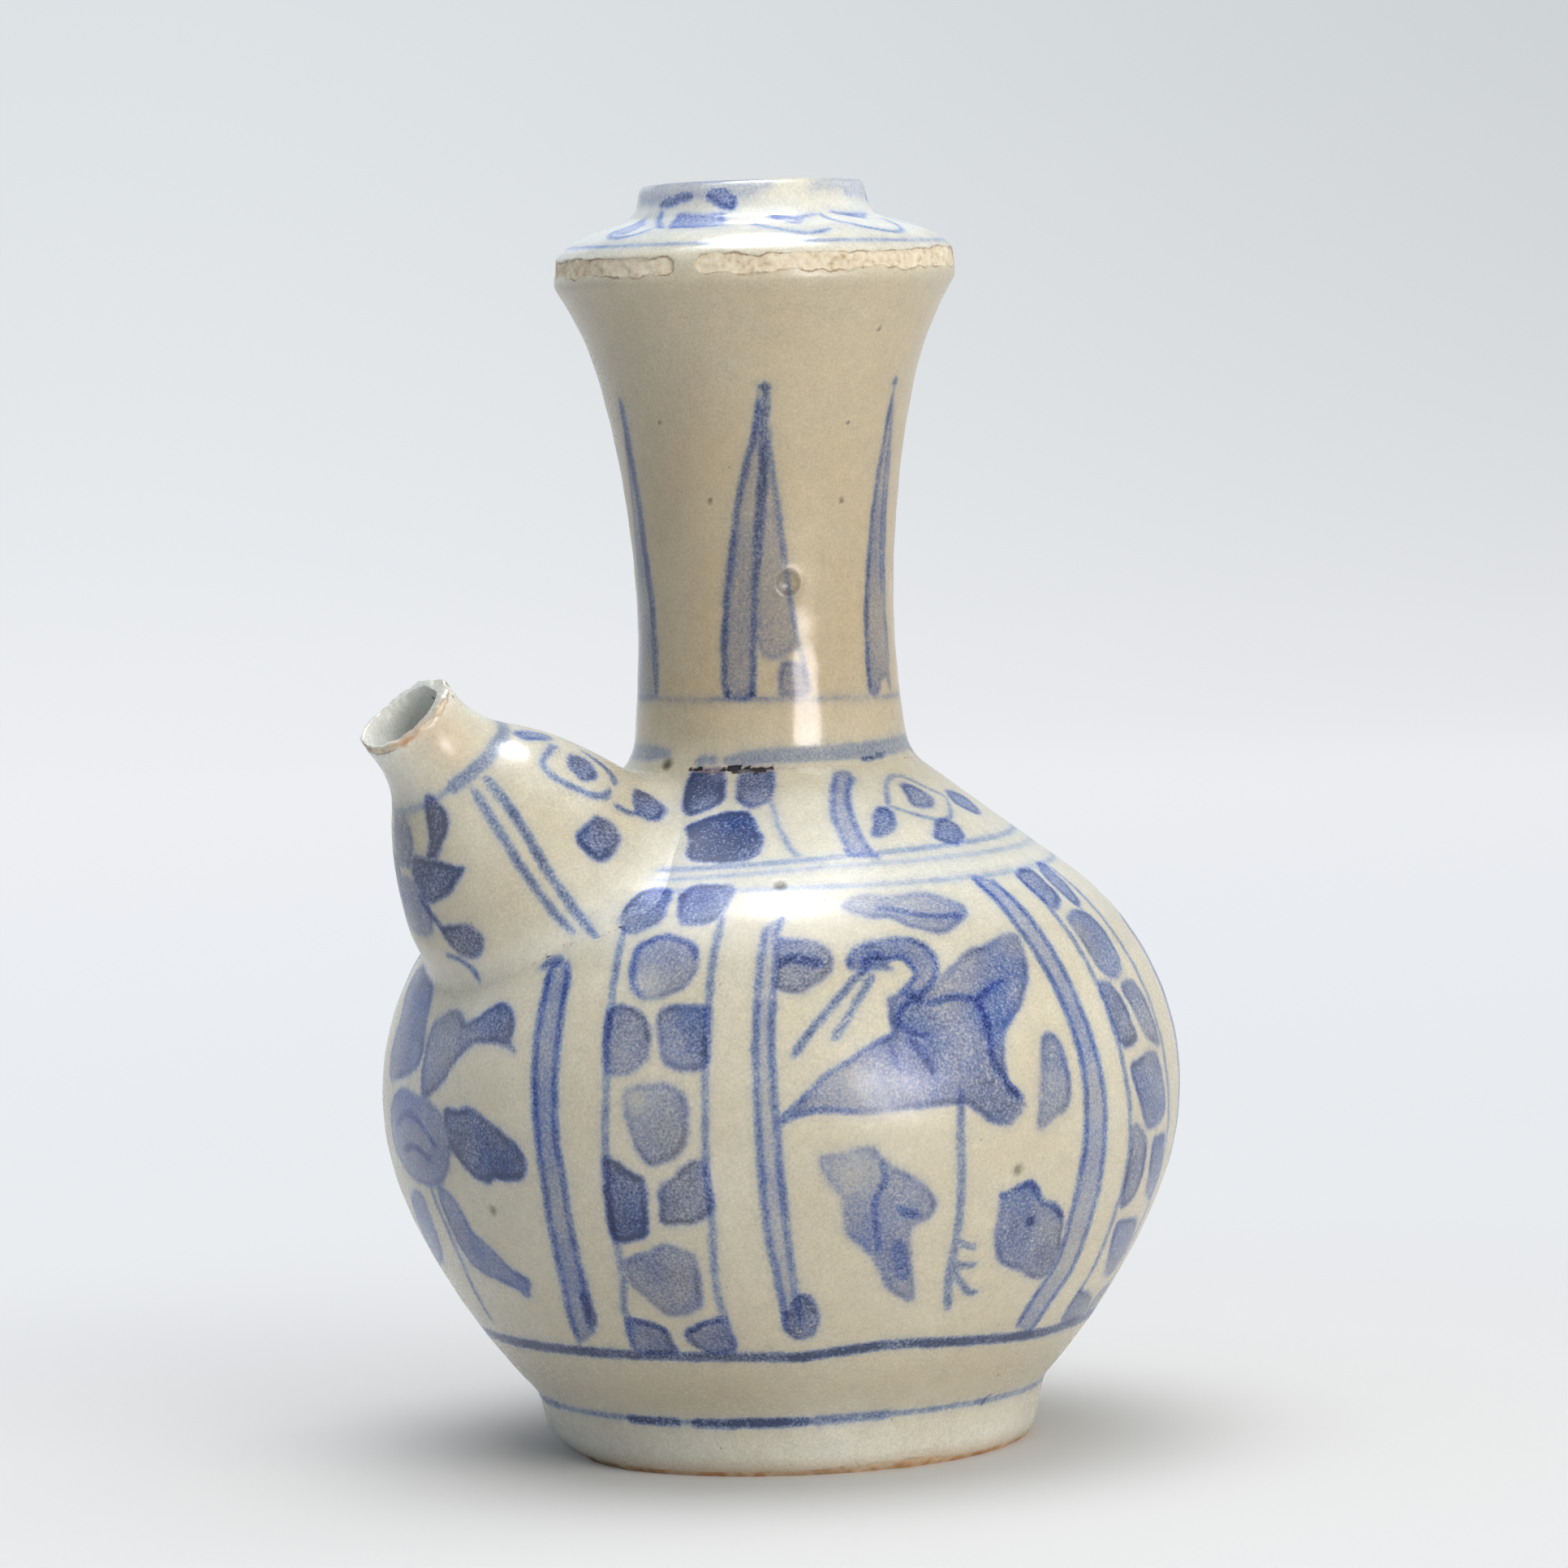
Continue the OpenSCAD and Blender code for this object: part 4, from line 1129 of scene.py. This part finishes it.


# Tint of the glaze along s: 0 is bluish white, 0.5 warm grey, 1 tan. It also holds painted shade, darker
# under the belly near s 15. The foot is lighter near s 4, partly from whiter glaze and partly from
# painted light bounced up from the floor.
TINT_AND_PAINTED_LIGHT_S = (0, 4, 8, 15, 24, 40, 80, 97, 112, SEAM_S, NECK_S + 12, NECK_S + 40, MOUTH_S - 3, MOUTH_S + 3,
          MOUTH_S + 8, MOUTH_S + 15, MOUTH_S + 18, MOUTH_S + 30)
TINT_AND_PAINTED_LIGHT = (0.36, 0.25, 0.4, 0.63, 0.55, 0.56, 0.45, 0.16, 0.32, 0.56, 0.95, 0.86, 0.74, 0.3,
        0.06, 0.1, 0.28, 0.2)
SPOUT_TINT_S = (0, 3, 10, 26, 30, 36, 38, 40)
SPOUT_TINT = (0.46, 0.42, 0.54, 0.52, 0.52, 0.46, 0.2, 0.1)
INSIDE_TINT = 0.1
# A point this far under the outline still counts as outside
SKIN = 0.95
# Roughness of the glaze along s
MATT_S = (0, 30, 75, 88, 112, SEAM_S, NECK_S + 4, NECK_S + 18, NECK_S + 28, MOUTH_S, MOUTH_S + 4)
MATT = (0.24, 0.28, 0.28, 0.24, 0.24, 0.18, 0.14, 0.14, 0.3, 0.3, 0.14)
SPOUT_MATT = 0.26
# The dark crust in the neck's seam, and the open stretch of the spout's seam
CRUST_DEG = 47
SEAM_OPEN_PSI = 122


def vessel_tint_and_painted_light(deg, s):
    # Painted cool light: the glaze is paler and bluer on the vessel's left side as seen from the camera,
    # which is in shade
    return np.interp(s, TINT_AND_PAINTED_LIGHT_S, TINT_AND_PAINTED_LIGHT) - 0.2 * patch(deg, -25, 45, 1.3)


def finish_piece(obj, sharp):
    mesh = obj.data
    mesh.polygons.foreach_set("use_smooth", np.ones(len(mesh.polygons), bool))
    mesh.set_sharp_from_angle(angle=radians(sharp))
    mesh.update()


def dress_vessel(obj, strips):
    mesh = obj.data
    co = np.zeros(len(mesh.vertices) * 3)
    mesh.vertices.foreach_get("co", co)
    points = co.reshape(-1, 3) / MM
    deg = deg_of(points)
    s = s_at(points[:, 2])
    rho = rho_of(points)
    outside = rho > r_at(s) - SKIN
    outside &= ~((points[:, 2] < 0.2) & (rho < foot_r - 0.3))
    values = paint(deg, s, r_at(s) * pi / 180, vessel_marks, POOLS)
    for name in ("line", "wash"):
        values[name][~outside] = FAR
    bare = np.minimum(bare_foot(s, points), bare_band(deg, s, points))
    foot_face = (points[:, 2] < 0.6) & (rho > foot_in_r - 0.1)
    bare = np.where(foot_face, -1, np.where(outside, bare, FAR))
    values["bare"] = np.clip(bare, -FAR, FAR)
    values["tint_and_painted_light"] = np.where(outside, vessel_tint_and_painted_light(deg, s), INSIDE_TINT)
    values["flush"] = unit(1.15 - s / 3) * outside
    from_seam = np.abs(s - SEAM_S) + 0.6 - 1.03 * patch(deg, CRUST_DEG, 9, 2.6)
    values["seam"] = np.where(outside, np.clip(from_seam, -FAR, FAR), FAR)
    values["pit"] = pit_floor(deg, s) * outside
    values["matt"] = np.interp(s, MATT_S, MATT)
    set_floats(mesh, values)
    unroll(mesh, deg, s, outside, strips)
    finish_piece(obj, 40)


def dress_spout(obj):
    mesh = obj.data
    outside = spout_s < LIP_END + 0.1
    radius = np.interp(spout_s, whole_s, whole_r)
    values = paint(spout_psi, spout_s, radius * pi / 180, spout_marks, ())
    deg = deg_of(spout_points)
    s = s_at(spout_points[:, 2])
    below = paint(deg, s, r_at(s) * pi / 180, vessel_marks, POOLS)
    climb = 1.6 * np.maximum(above_body(spout_points) - 0.25, 0)
    for name in ("line", "wash"):
        nearer = below[name] + climb < values[name]
        values[name] = np.where(nearer, below[name] + climb, values[name])
        values[name + "_tone"] = np.where(nearer, below[name + "_tone"], values[name + "_tone"])
        values[name][~outside] = FAR
    rough = noise(spout_points, 2.2, 41) + 0.5 * noise(spout_points, 0.9, 42)
    crumbs = np.abs(spout_s - SPOUT_RUN + 0.35) - 0.1 - 0.5 * patch(spout_psi, 140, 60, 1.4) - 0.5 * rough
    values["bare"] = np.where(outside, np.clip(crumbs, -FAR, FAR), FAR)
    sides = unit(np.abs(apart(spout_psi, 95)) / 70) * unit((spout_s - 27) / 3)
    sides *= unit(SPOUT_RUN - spout_s)
    # Painted light: the upper front of the bulb, which faces up towards the lamps, is made paler
    painted_light_on_bulb = patch(spout_psi, 45, 25, 1.6) * unit((spout_s - 8) / 6) * unit((28 - spout_s) / 2)
    plain = np.interp(spout_s, SPOUT_TINT_S, SPOUT_TINT) - 0.26 * sides - 0.26 * painted_light_on_bulb
    at_root = unit(1 - (spout_s - spout_root) / 4) * outside
    values["tint_and_painted_light"] = plain * (1 - at_root) + vessel_tint_and_painted_light(deg, s) * at_root
    burnt = 0.5 * patch(spout_psi, 88, 45, 1.2) * unit((spout_s - 29) / 3)
    burnt += patch(spout_psi, 118, 22, 1.5) * unit(spout_s - SPOUT_RUN + 1.6)
    values["flush"] = burnt * outside
    values["pit"] = np.zeros(len(spout_s))
    values["matt"] = np.full(len(spout_s), SPOUT_MATT)
    filled = unit((np.abs(apart(spout_psi, SEAM_OPEN_PSI)) - 24) / 60)
    values["seam"] = np.where(outside, np.clip(spout_s - spout_root + 0.4 + filled, 0, FAR), FAR)
    set_floats(mesh, values)
    unroll(mesh, spout_psi, spout_s, outside, 2)
    finish_piece(obj, 50)


STRIPS = {"lower_bowl": 2, "upper_bowl": 2, "neck": 1, "mouth_slip": 4, "mouth_cap": 2}
for name, strips in STRIPS.items():
    dress_vessel(parts[name], strips)
dress_spout(parts["spout"])
for name in ("belly_slip", "neck_slip", "spout_slip"):
    finish_piece(parts[name], 30)


# Materials

class Shader:
    """Short ways to add nodes to a material: a value that is a socket is linked, any other is set."""

    def __init__(self, name):
        self.material = bpy.data.materials.new(name)
        self.material.use_nodes = True
        self.tree = self.material.node_tree
        self.tree.nodes.clear()

    def node(self, kind, inputs, **settings):
        made = self.tree.nodes.new(kind)
        for key, value in settings.items():
            setattr(made, key, value)
        for key, value in inputs.items():
            if isinstance(value, bpy.types.NodeSocket):
                self.tree.links.new(value, made.inputs[key])
            else:
                made.inputs[key].default_value = value
        return made

    def math(self, operation, a, b=0.0):
        return self.node("ShaderNodeMath", {0: a, 1: b}, operation=operation).outputs[0]

    def sum(self, *terms):
        total = terms[0]
        for term in terms[1:]:
            total = self.math("ADD", total, term)
        return total

    def times(self, a, b):
        return self.math("MULTIPLY", a, b)

    def span(self, value, low, high, at_low, at_high):
        """Smooth step from at_low at low to at_high at high."""
        inputs = {"Value": value, "From Min": low, "From Max": high, "To Min": at_low, "To Max": at_high}
        return self.node("ShaderNodeMapRange", inputs, interpolation_type="SMOOTHSTEP").outputs["Result"]

    def attribute(self, name):
        return self.node("ShaderNodeAttribute", {}, attribute_name=name).outputs["Fac"]

    def place(self):
        return self.node("ShaderNodeTexCoord", {}).outputs["Object"]

    def grain(self, size, detail=2.0):
        """Noise about zero, of that feature size in mm."""
        inputs = {"Vector": self.place(), "Scale": 1 / (size * MM), "Detail": detail}
        return self.math("SUBTRACT", self.node("ShaderNodeTexNoise", inputs).outputs["Fac"], 0.5)

    def dots(self, size, radius, share):
        """1 inside scattered round specks of that radius in mm, in a share of the cells of that size."""
        cell = self.node("ShaderNodeTexVoronoi", {"Vector": self.place(), "Scale": 1 / (size * MM)})
        chance = self.node("ShaderNodeSeparateColor", {"Color": cell.outputs["Color"]}).outputs["Red"]
        inside = self.span(cell.outputs["Distance"], 0.5 * radius / size, 1.3 * radius / size, 1, 0)
        return self.times(inside, self.math("LESS_THAN", chance, share))

    def ramp(self, value, stops):
        made = self.node("ShaderNodeValToRGB", {"Fac": value})
        colours = made.color_ramp.elements
        for i, (place, colour) in enumerate(stops):
            stop = colours[i] if i < 2 else colours.new(place)
            stop.position = place
            stop.color = (*colour, 1)
        return made.outputs["Color"]

    def mix(self, share, a, b, blend="MIX"):
        made = self.node("ShaderNodeMix", {0: share, 6: a, 7: b}, data_type="RGBA", blend_type=blend)
        return made.outputs[2]

    def surface(self, inputs):
        shader = self.node("ShaderNodeBsdfPrincipled", inputs)
        self.node("ShaderNodeOutputMaterial", {"Surface": shader.outputs[0]})
        return self.material


LINE_INK = ((0, (1, 1, 1)), (0.25, (0.54, 0.65, 0.96)), (0.5, (0.31, 0.41, 0.78)),
            (0.75, (0.18, 0.25, 0.55)), (1.0, (0.085, 0.125, 0.34)))
WASH_INK = ((0, (1, 1, 1)), (0.25, (0.59, 0.66, 0.92)), (0.5, (0.355, 0.43, 0.77)),
            (0.75, (0.22, 0.275, 0.52)), (1.0, (0.12, 0.155, 0.33)))
GLAZE = ((0, (0.745, 0.785, 0.79)), (0.25, (0.70, 0.69, 0.61)), (0.5, (0.57, 0.53, 0.42)),
         (0.75, (0.50, 0.435, 0.315)), (1.0, (0.455, 0.37, 0.24)))
BISCUIT = ((0, (0.44, 0.34, 0.22)), (0.35, (0.66, 0.57, 0.43)), (1.0, (0.78, 0.72, 0.59)))
BURNT = (0.46, 0.24, 0.10, 1)
SCAR = (0.36, 0.26, 0.23, 1)
CRUST = (0.02, 0.016, 0.02, 1)
SPECK = (0.13, 0.075, 0.035, 1)
PIT = (0.055, 0.04, 0.025, 1)
CRACK = (0.17, 0.105, 0.05, 1)
BLACK = (0, 0, 0, 1)
CLAY_ROUGH = 0.85
# Floor and backdrop in metres: pale paper, its colours by distance as a share of the dish's radius, with
# painted shade making the backdrop darker towards its top
FLAT_R = 1.5
DISH_R = 2.6
SHADE_WAY = (0.88, 0.47)
PAPER_START = 0.045
PAPER_FULL = 0.26
PAPER_GLOW_IN_SHADOW = 0.07
PAPER = ((0.03, (0.815, 0.83, 0.855)), (0.15, (0.80, 0.83, 0.86)), (0.55, (0.84, 0.85, 0.885)),
         (0.645, (0.815, 0.832, 0.862)), (0.80, (0.69, 0.73, 0.75)))


def glaze_material(name):
    m = Shader(name)
    soft = m.grain(1.8)
    fine = m.grain(0.5, 3.0)
    cloud = m.grain(5.0)
    broad = m.grain(18.0)
    speckle = m.times(m.grain(0.38, 1.0), 2.1)
    wash_at = m.sum(m.attribute("wash"), m.times(soft, 0.6), m.times(fine, 0.3), -0.22)
    line_at = m.sum(m.attribute("line"), m.times(soft, 0.5), m.times(fine, 0.3), -0.12)
    fill = m.times(m.span(wash_at, -0.8, 0.45, 1, 0), m.attribute("wash_tone"))
    border = m.span(m.math("ABSOLUTE", m.math("ADD", wash_at, 0.5)), 0, 1.0, 1, 0)
    border = m.times(border, m.span(m.grain(7.0), -0.14, 0.12, 0.06, 0.62))
    wash_ink = m.times(fill, m.sum(0.82, border, m.times(cloud, 0.9), speckle))
    line_body = m.sum(0.92, m.times(cloud, 1.1), m.times(m.grain(9.0), 0.9), speckle)
    line_ink = m.times(m.times(m.span(line_at, -0.55, 0.45, 1, 0), m.attribute("line_tone")), line_body)
    halo = m.span(m.math("MINIMUM", wash_at, line_at), 0, 1.6, 0.06, 0)
    line_ink = m.math("ADD", line_ink, halo)
    seam_at = m.sum(m.attribute("seam"), m.times(m.grain(0.9, 4.0), 2.4), m.times(m.grain(3.5), 1.8))
    seam_ink = m.span(seam_at, -0.2, 0.15, 1, 0)
    scar = m.span(m.sum(m.attribute("seam"), m.times(m.grain(2.5), 1.6)), -0.2, 0.5, 0.5, 0)
    # The tint carries painted light and shade along with the glaze's own colour
    tint_and_painted_light = m.sum(m.attribute("tint_and_painted_light"), m.times(broad, 0.34), m.times(cloud, 0.2))
    colour = m.mix(m.times(m.attribute("flush"), 0.4), m.ramp(tint_and_painted_light, GLAZE), BURNT)
    mottle = m.sum(1.0, m.times(m.grain(0.4, 2.0), 0.46), m.times(soft, 0.2), m.times(cloud, 0.2))
    colour = m.node("ShaderNodeVectorMath", {0: colour, "Scale": mottle}, operation="SCALE").outputs[0]
    vivid = m.sum(1.26, m.times(m.attribute("tint_and_painted_light"), -0.4), m.times(m.grain(11.0), 1.8))
    ink_inputs = {"Saturation": vivid, "Color": m.ramp(wash_ink, WASH_INK)}
    ink = m.node("ShaderNodeHueSaturation", ink_inputs).outputs[0]
    colour = m.mix(1.0, colour, ink, "MULTIPLY")
    colour = m.mix(1.0, colour, m.ramp(line_ink, LINE_INK), "MULTIPLY")
    colour = m.mix(scar, colour, SCAR)
    colour = m.mix(seam_ink, colour, CRUST)
    specks = m.math("MAXIMUM", m.dots(11, 0.34, 0.3), m.times(m.dots(3.6, 0.17, 0.4), 0.8))
    colour = m.mix(m.times(specks, 0.7), colour, SPECK)
    colour = m.mix(m.times(m.attribute("pit"), 0.85), colour, PIT)
    bare_at = m.sum(m.attribute("bare"), m.times(fine, 0.5), m.times(soft, 0.3))
    bare = m.span(bare_at, -0.12, 0.12, 1, 0)
    crack = m.span(m.math("ABSOLUTE", bare_at), 0.03, 0.22, 1, 0)
    crack = m.times(crack, m.span(m.grain(2.6), -0.1, 0.1, 0.15, 0.7))
    crack = m.times(crack, m.math("SUBTRACT", 1.0, m.attribute("flush")))
    dust = m.sum(0.58, m.times(m.grain(0.9, 4.0), 2.2), m.times(m.grain(4.0), 0.9))
    toasted = m.times(m.attribute("flush"), m.span(m.grain(3.0), -0.12, 0.14, 0.45, 0.95))
    clay = m.mix(toasted, m.ramp(dust, BISCUIT), BURNT)
    colour = m.mix(crack, m.mix(bare, colour, clay), CRACK)
    shine = m.sum(m.attribute("matt"), m.times(broad, 0.1), m.times(fine, 0.12))
    rough = m.node("ShaderNodeMix", {0: bare, 2: shine, 3: CLAY_ROUGH}).outputs[0]
    pinholes = m.times(m.dots(2.3, 0.14, 0.35), -0.5)
    relief = m.sum(m.times(m.grain(1.4, 2.0), 0.35), m.times(m.grain(4.5), 0.8), pinholes)
    relief = m.sum(relief, m.times(m.times(bare, m.grain(0.5, 4.0)), 3.0))
    bump = m.node("ShaderNodeBump", {"Height": relief, "Strength": 0.32, "Distance": 0.08 * MM})
    return m.surface({"Base Color": colour, "Roughness": rough, "Normal": bump.outputs[0], "IOR": 1.5})


def slip_material(name):
    m = Shader(name)
    dust = m.sum(0.5, m.times(m.grain(1.2, 4.0), 1.6), m.times(m.grain(4.0), 0.8))
    bump = m.node("ShaderNodeBump", {"Height": m.grain(0.5, 4.0), "Strength": 0.6, "Distance": 0.2 * MM})
    colour = m.ramp(dust, BISCUIT)
    return m.surface({"Base Color": colour, "Roughness": CLAY_ROUGH, "Normal": bump.outputs[0]})


def floor_material(name, colour):
    m = Shader(name)
    tone = m.math("ADD", m.times(m.grain(60.0), 0.02), 0.5)
    shade = m.mix(tone, [c * 0.98 for c in colour] + [1], [c * 1.02 for c in colour] + [1])
    place = m.node("ShaderNodeSeparateXYZ", {"Vector": m.place()})
    x, y = place.outputs["X"], place.outputs["Y"]
    aside = m.math("SUBTRACT", m.times(x, SHADE_WAY[0]), m.times(y, SHADE_WAY[1]))
    # Painted shade: the floor is darker far to the left of the camera, where only diffuse light sees it,
    # so the vessel's left side gets less light from it, and a little darker to the right
    shade = m.mix(m.span(aside, -1.2, -0.4, 0.75, 0), shade, BLACK)
    shade = m.mix(m.span(aside, 0.02, 0.25, 0, 0.06), shade, BLACK)
    matt = {"Base Color": shade, "Roughness": 0.75, "Specular IOR Level": 0.2}
    lit = m.node("ShaderNodeBsdfPrincipled", matt)
    flat = m.math("SQRT", m.math("ADD", m.math("POWER", x, 2.0), m.math("POWER", y, 2.0)))
    sky = m.ramp(m.math("DIVIDE", flat, DISH_R), PAPER)
    # Painted shade on the backdrop: its glow is dimmed towards the right and further up
    dimmed = m.times(m.span(aside, -0.3, 0.55, 0, 0.19), m.span(flat, 1.2, 2.15, 0.15, 1))
    glow = m.node("ShaderNodeEmission", {"Color": sky, "Strength": m.math("SUBTRACT", 1.02, dimmed)})
    path = m.node("ShaderNodeLightPath", {})
    seen = m.math("MAXIMUM", path.outputs["Is Camera Ray"], path.outputs["Is Glossy Ray"])
    # Painted light: near the object a small share of the paper's glow still reaches the camera, which
    # lightens the object's shadow on the floor
    share = m.times(seen, m.span(flat, PAPER_START, PAPER_FULL, PAPER_GLOW_IN_SHADOW, 1))
    both = m.node("ShaderNodeMixShader", {0: share, 1: lit.outputs[0], 2: glow.outputs[0]})
    m.node("ShaderNodeOutputMaterial", {"Surface": both.outputs[0]})
    return m.material


glaze = glaze_material("glazed_porcelain")
slip = slip_material("slip")
for node, obj in parts.items():
    is_slip = node.endswith("_slip")
    obj.data.materials.clear()
    obj.data.materials.append(slip if is_slip and node != "mouth_slip" else glaze)
    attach(obj, "root")
    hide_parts(node)


# Floor that curves up into a backdrop on all sides, in metres

DISH_RISE = 1.6
DISH_RINGS = 40
DISH_COLUMNS = 96
FLOOR_COLOUR = (0.775, 0.788, 0.81)
dish_points = []
for i in range(DISH_RINGS + 1):
    r = 0.02 + DISH_R * i / DISH_RINGS
    z = DISH_RISE * max(0, (r - FLAT_R) / (DISH_R - FLAT_R)) ** 2.2
    for j in range(DISH_COLUMNS):
        a = 2 * pi * j / DISH_COLUMNS
        dish_points.append((r * cos(a), r * sin(a), z))
dish_faces = ring_faces(DISH_RINGS + 1, DISH_COLUMNS, closed=False)
dish_faces.append(tuple(range(DISH_COLUMNS - 1, -1, -1)))
dish = mesh_object("floor", np.array(dish_points) / MM, dish_faces)
dish.data.polygons.foreach_set("use_smooth", np.ones(len(dish.data.polygons), bool))
dish.data.materials.append(floor_material("floor", FLOOR_COLOUR))


# Camera at the photograph's place, in metres

CAMERA_AZIMUTH = -28
CAMERA_BACK = 1.0
CAMERA_HEIGHT = 0.165
AIM_HEIGHT = 0.09448
AIM_RIGHT = 0.00175
CAMERA_ROLL = 1.93
CAMERA_LENS = 160.42
azimuth = radians(CAMERA_AZIMUTH)
camera_at = Vector((sin(azimuth) * CAMERA_BACK, -cos(azimuth) * CAMERA_BACK, CAMERA_HEIGHT))
right = Vector((cos(azimuth), sin(azimuth), 0))
look = (Vector((0, 0, AIM_HEIGHT)) + right * AIM_RIGHT - camera_at).normalized()
right = look.cross(Vector((0, 0, 1))).normalized()
up = right.cross(look)
roll = radians(CAMERA_ROLL)
rolled_up = up * cos(roll) + right * sin(roll)
rolled_right = look.cross(rolled_up)
camera = bpy.data.objects.new("camera", bpy.data.cameras.new("camera"))
bpy.context.scene.collection.objects.link(camera)
camera.data.lens = CAMERA_LENS
camera.data.sensor_width = 36
camera.data.clip_start = 0.01
turned_camera = Matrix((rolled_right, rolled_up, -look)).transposed().to_4x4()
camera.matrix_world = Matrix.Translation(camera_at) @ turned_camera
bpy.context.scene.camera = camera


# Lights above and to the right of the camera, in metres, and a pale room all round

WARM_WHITE = (1, 0.985, 0.96)
EVENING = (1, 0.93, 0.82)
ROSY = (1, 0.93, 0.92)
OVERHEAD = (0.13, 0.21, 1.15)
ABOVE_IT = (0.13, 0.21, 1.16)
CEILING = (0.02, 0.03, 1.25)
BODY_MIDDLE = (0, 0, 0.1)
BODY_LOW = (0, 0, 0.08)


def softbox(name, place, aim, width, depth, power, colour, lights="all"):
    """Oval light aimed at a point, for the gloss alone, the matt colour alone or both."""
    light = bpy.data.lights.new(name, "AREA")
    light.shape = "ELLIPSE"
    light.size = width
    light.size_y = depth
    light.energy = power
    light.color = colour
    obj = bpy.data.objects.new(name, light)
    bpy.context.scene.collection.objects.link(obj)
    obj.location = place
    obj.visible_diffuse = lights != "gloss"
    obj.visible_glossy = lights != "matt"
    obj.rotation_euler = (Vector(aim) - Vector(place)).to_track_quat("-Z", "Y").to_euler()


def beside(turn, back, height):
    """Place at that angle to the right of the camera, seen from the object."""
    a = radians(CAMERA_AZIMUTH + turn)
    return (sin(a) * back, -cos(a) * back, height)


softbox("overhead", OVERHEAD, BODY_MIDDLE, 0.28, 0.36, 10.0, WARM_WHITE, "gloss")
softbox("halo", ABOVE_IT, BODY_MIDDLE, 0.48, 0.54, 4.2, WARM_WHITE, "gloss")
softbox("ceiling", CEILING, BODY_MIDDLE, 0.95, 0.95, 6.0, WARM_WHITE)
softbox("fill", CEILING, BODY_MIDDLE, 1.3, 1.3, 18.0, WARM_WHITE, "matt")
softbox("window", beside(40, 1.3, 0.45), BODY_LOW, 1.1, 0.9, 12.0, EVENING, "matt")
softbox("lamp", beside(32, 1.2, 0.25), BODY_LOW, 0.48, 0.40, 5.6, ROSY, "gloss")
world = bpy.data.worlds.new("room")
bpy.context.scene.world = world
world.use_nodes = True
backdrop = world.node_tree.nodes["Background"]
backdrop.inputs["Color"].default_value = (0.76, 0.89, 1.0, 1)
backdrop.inputs["Strength"].default_value = 0.15
bpy.context.scene.view_settings.view_transform = "Standard"
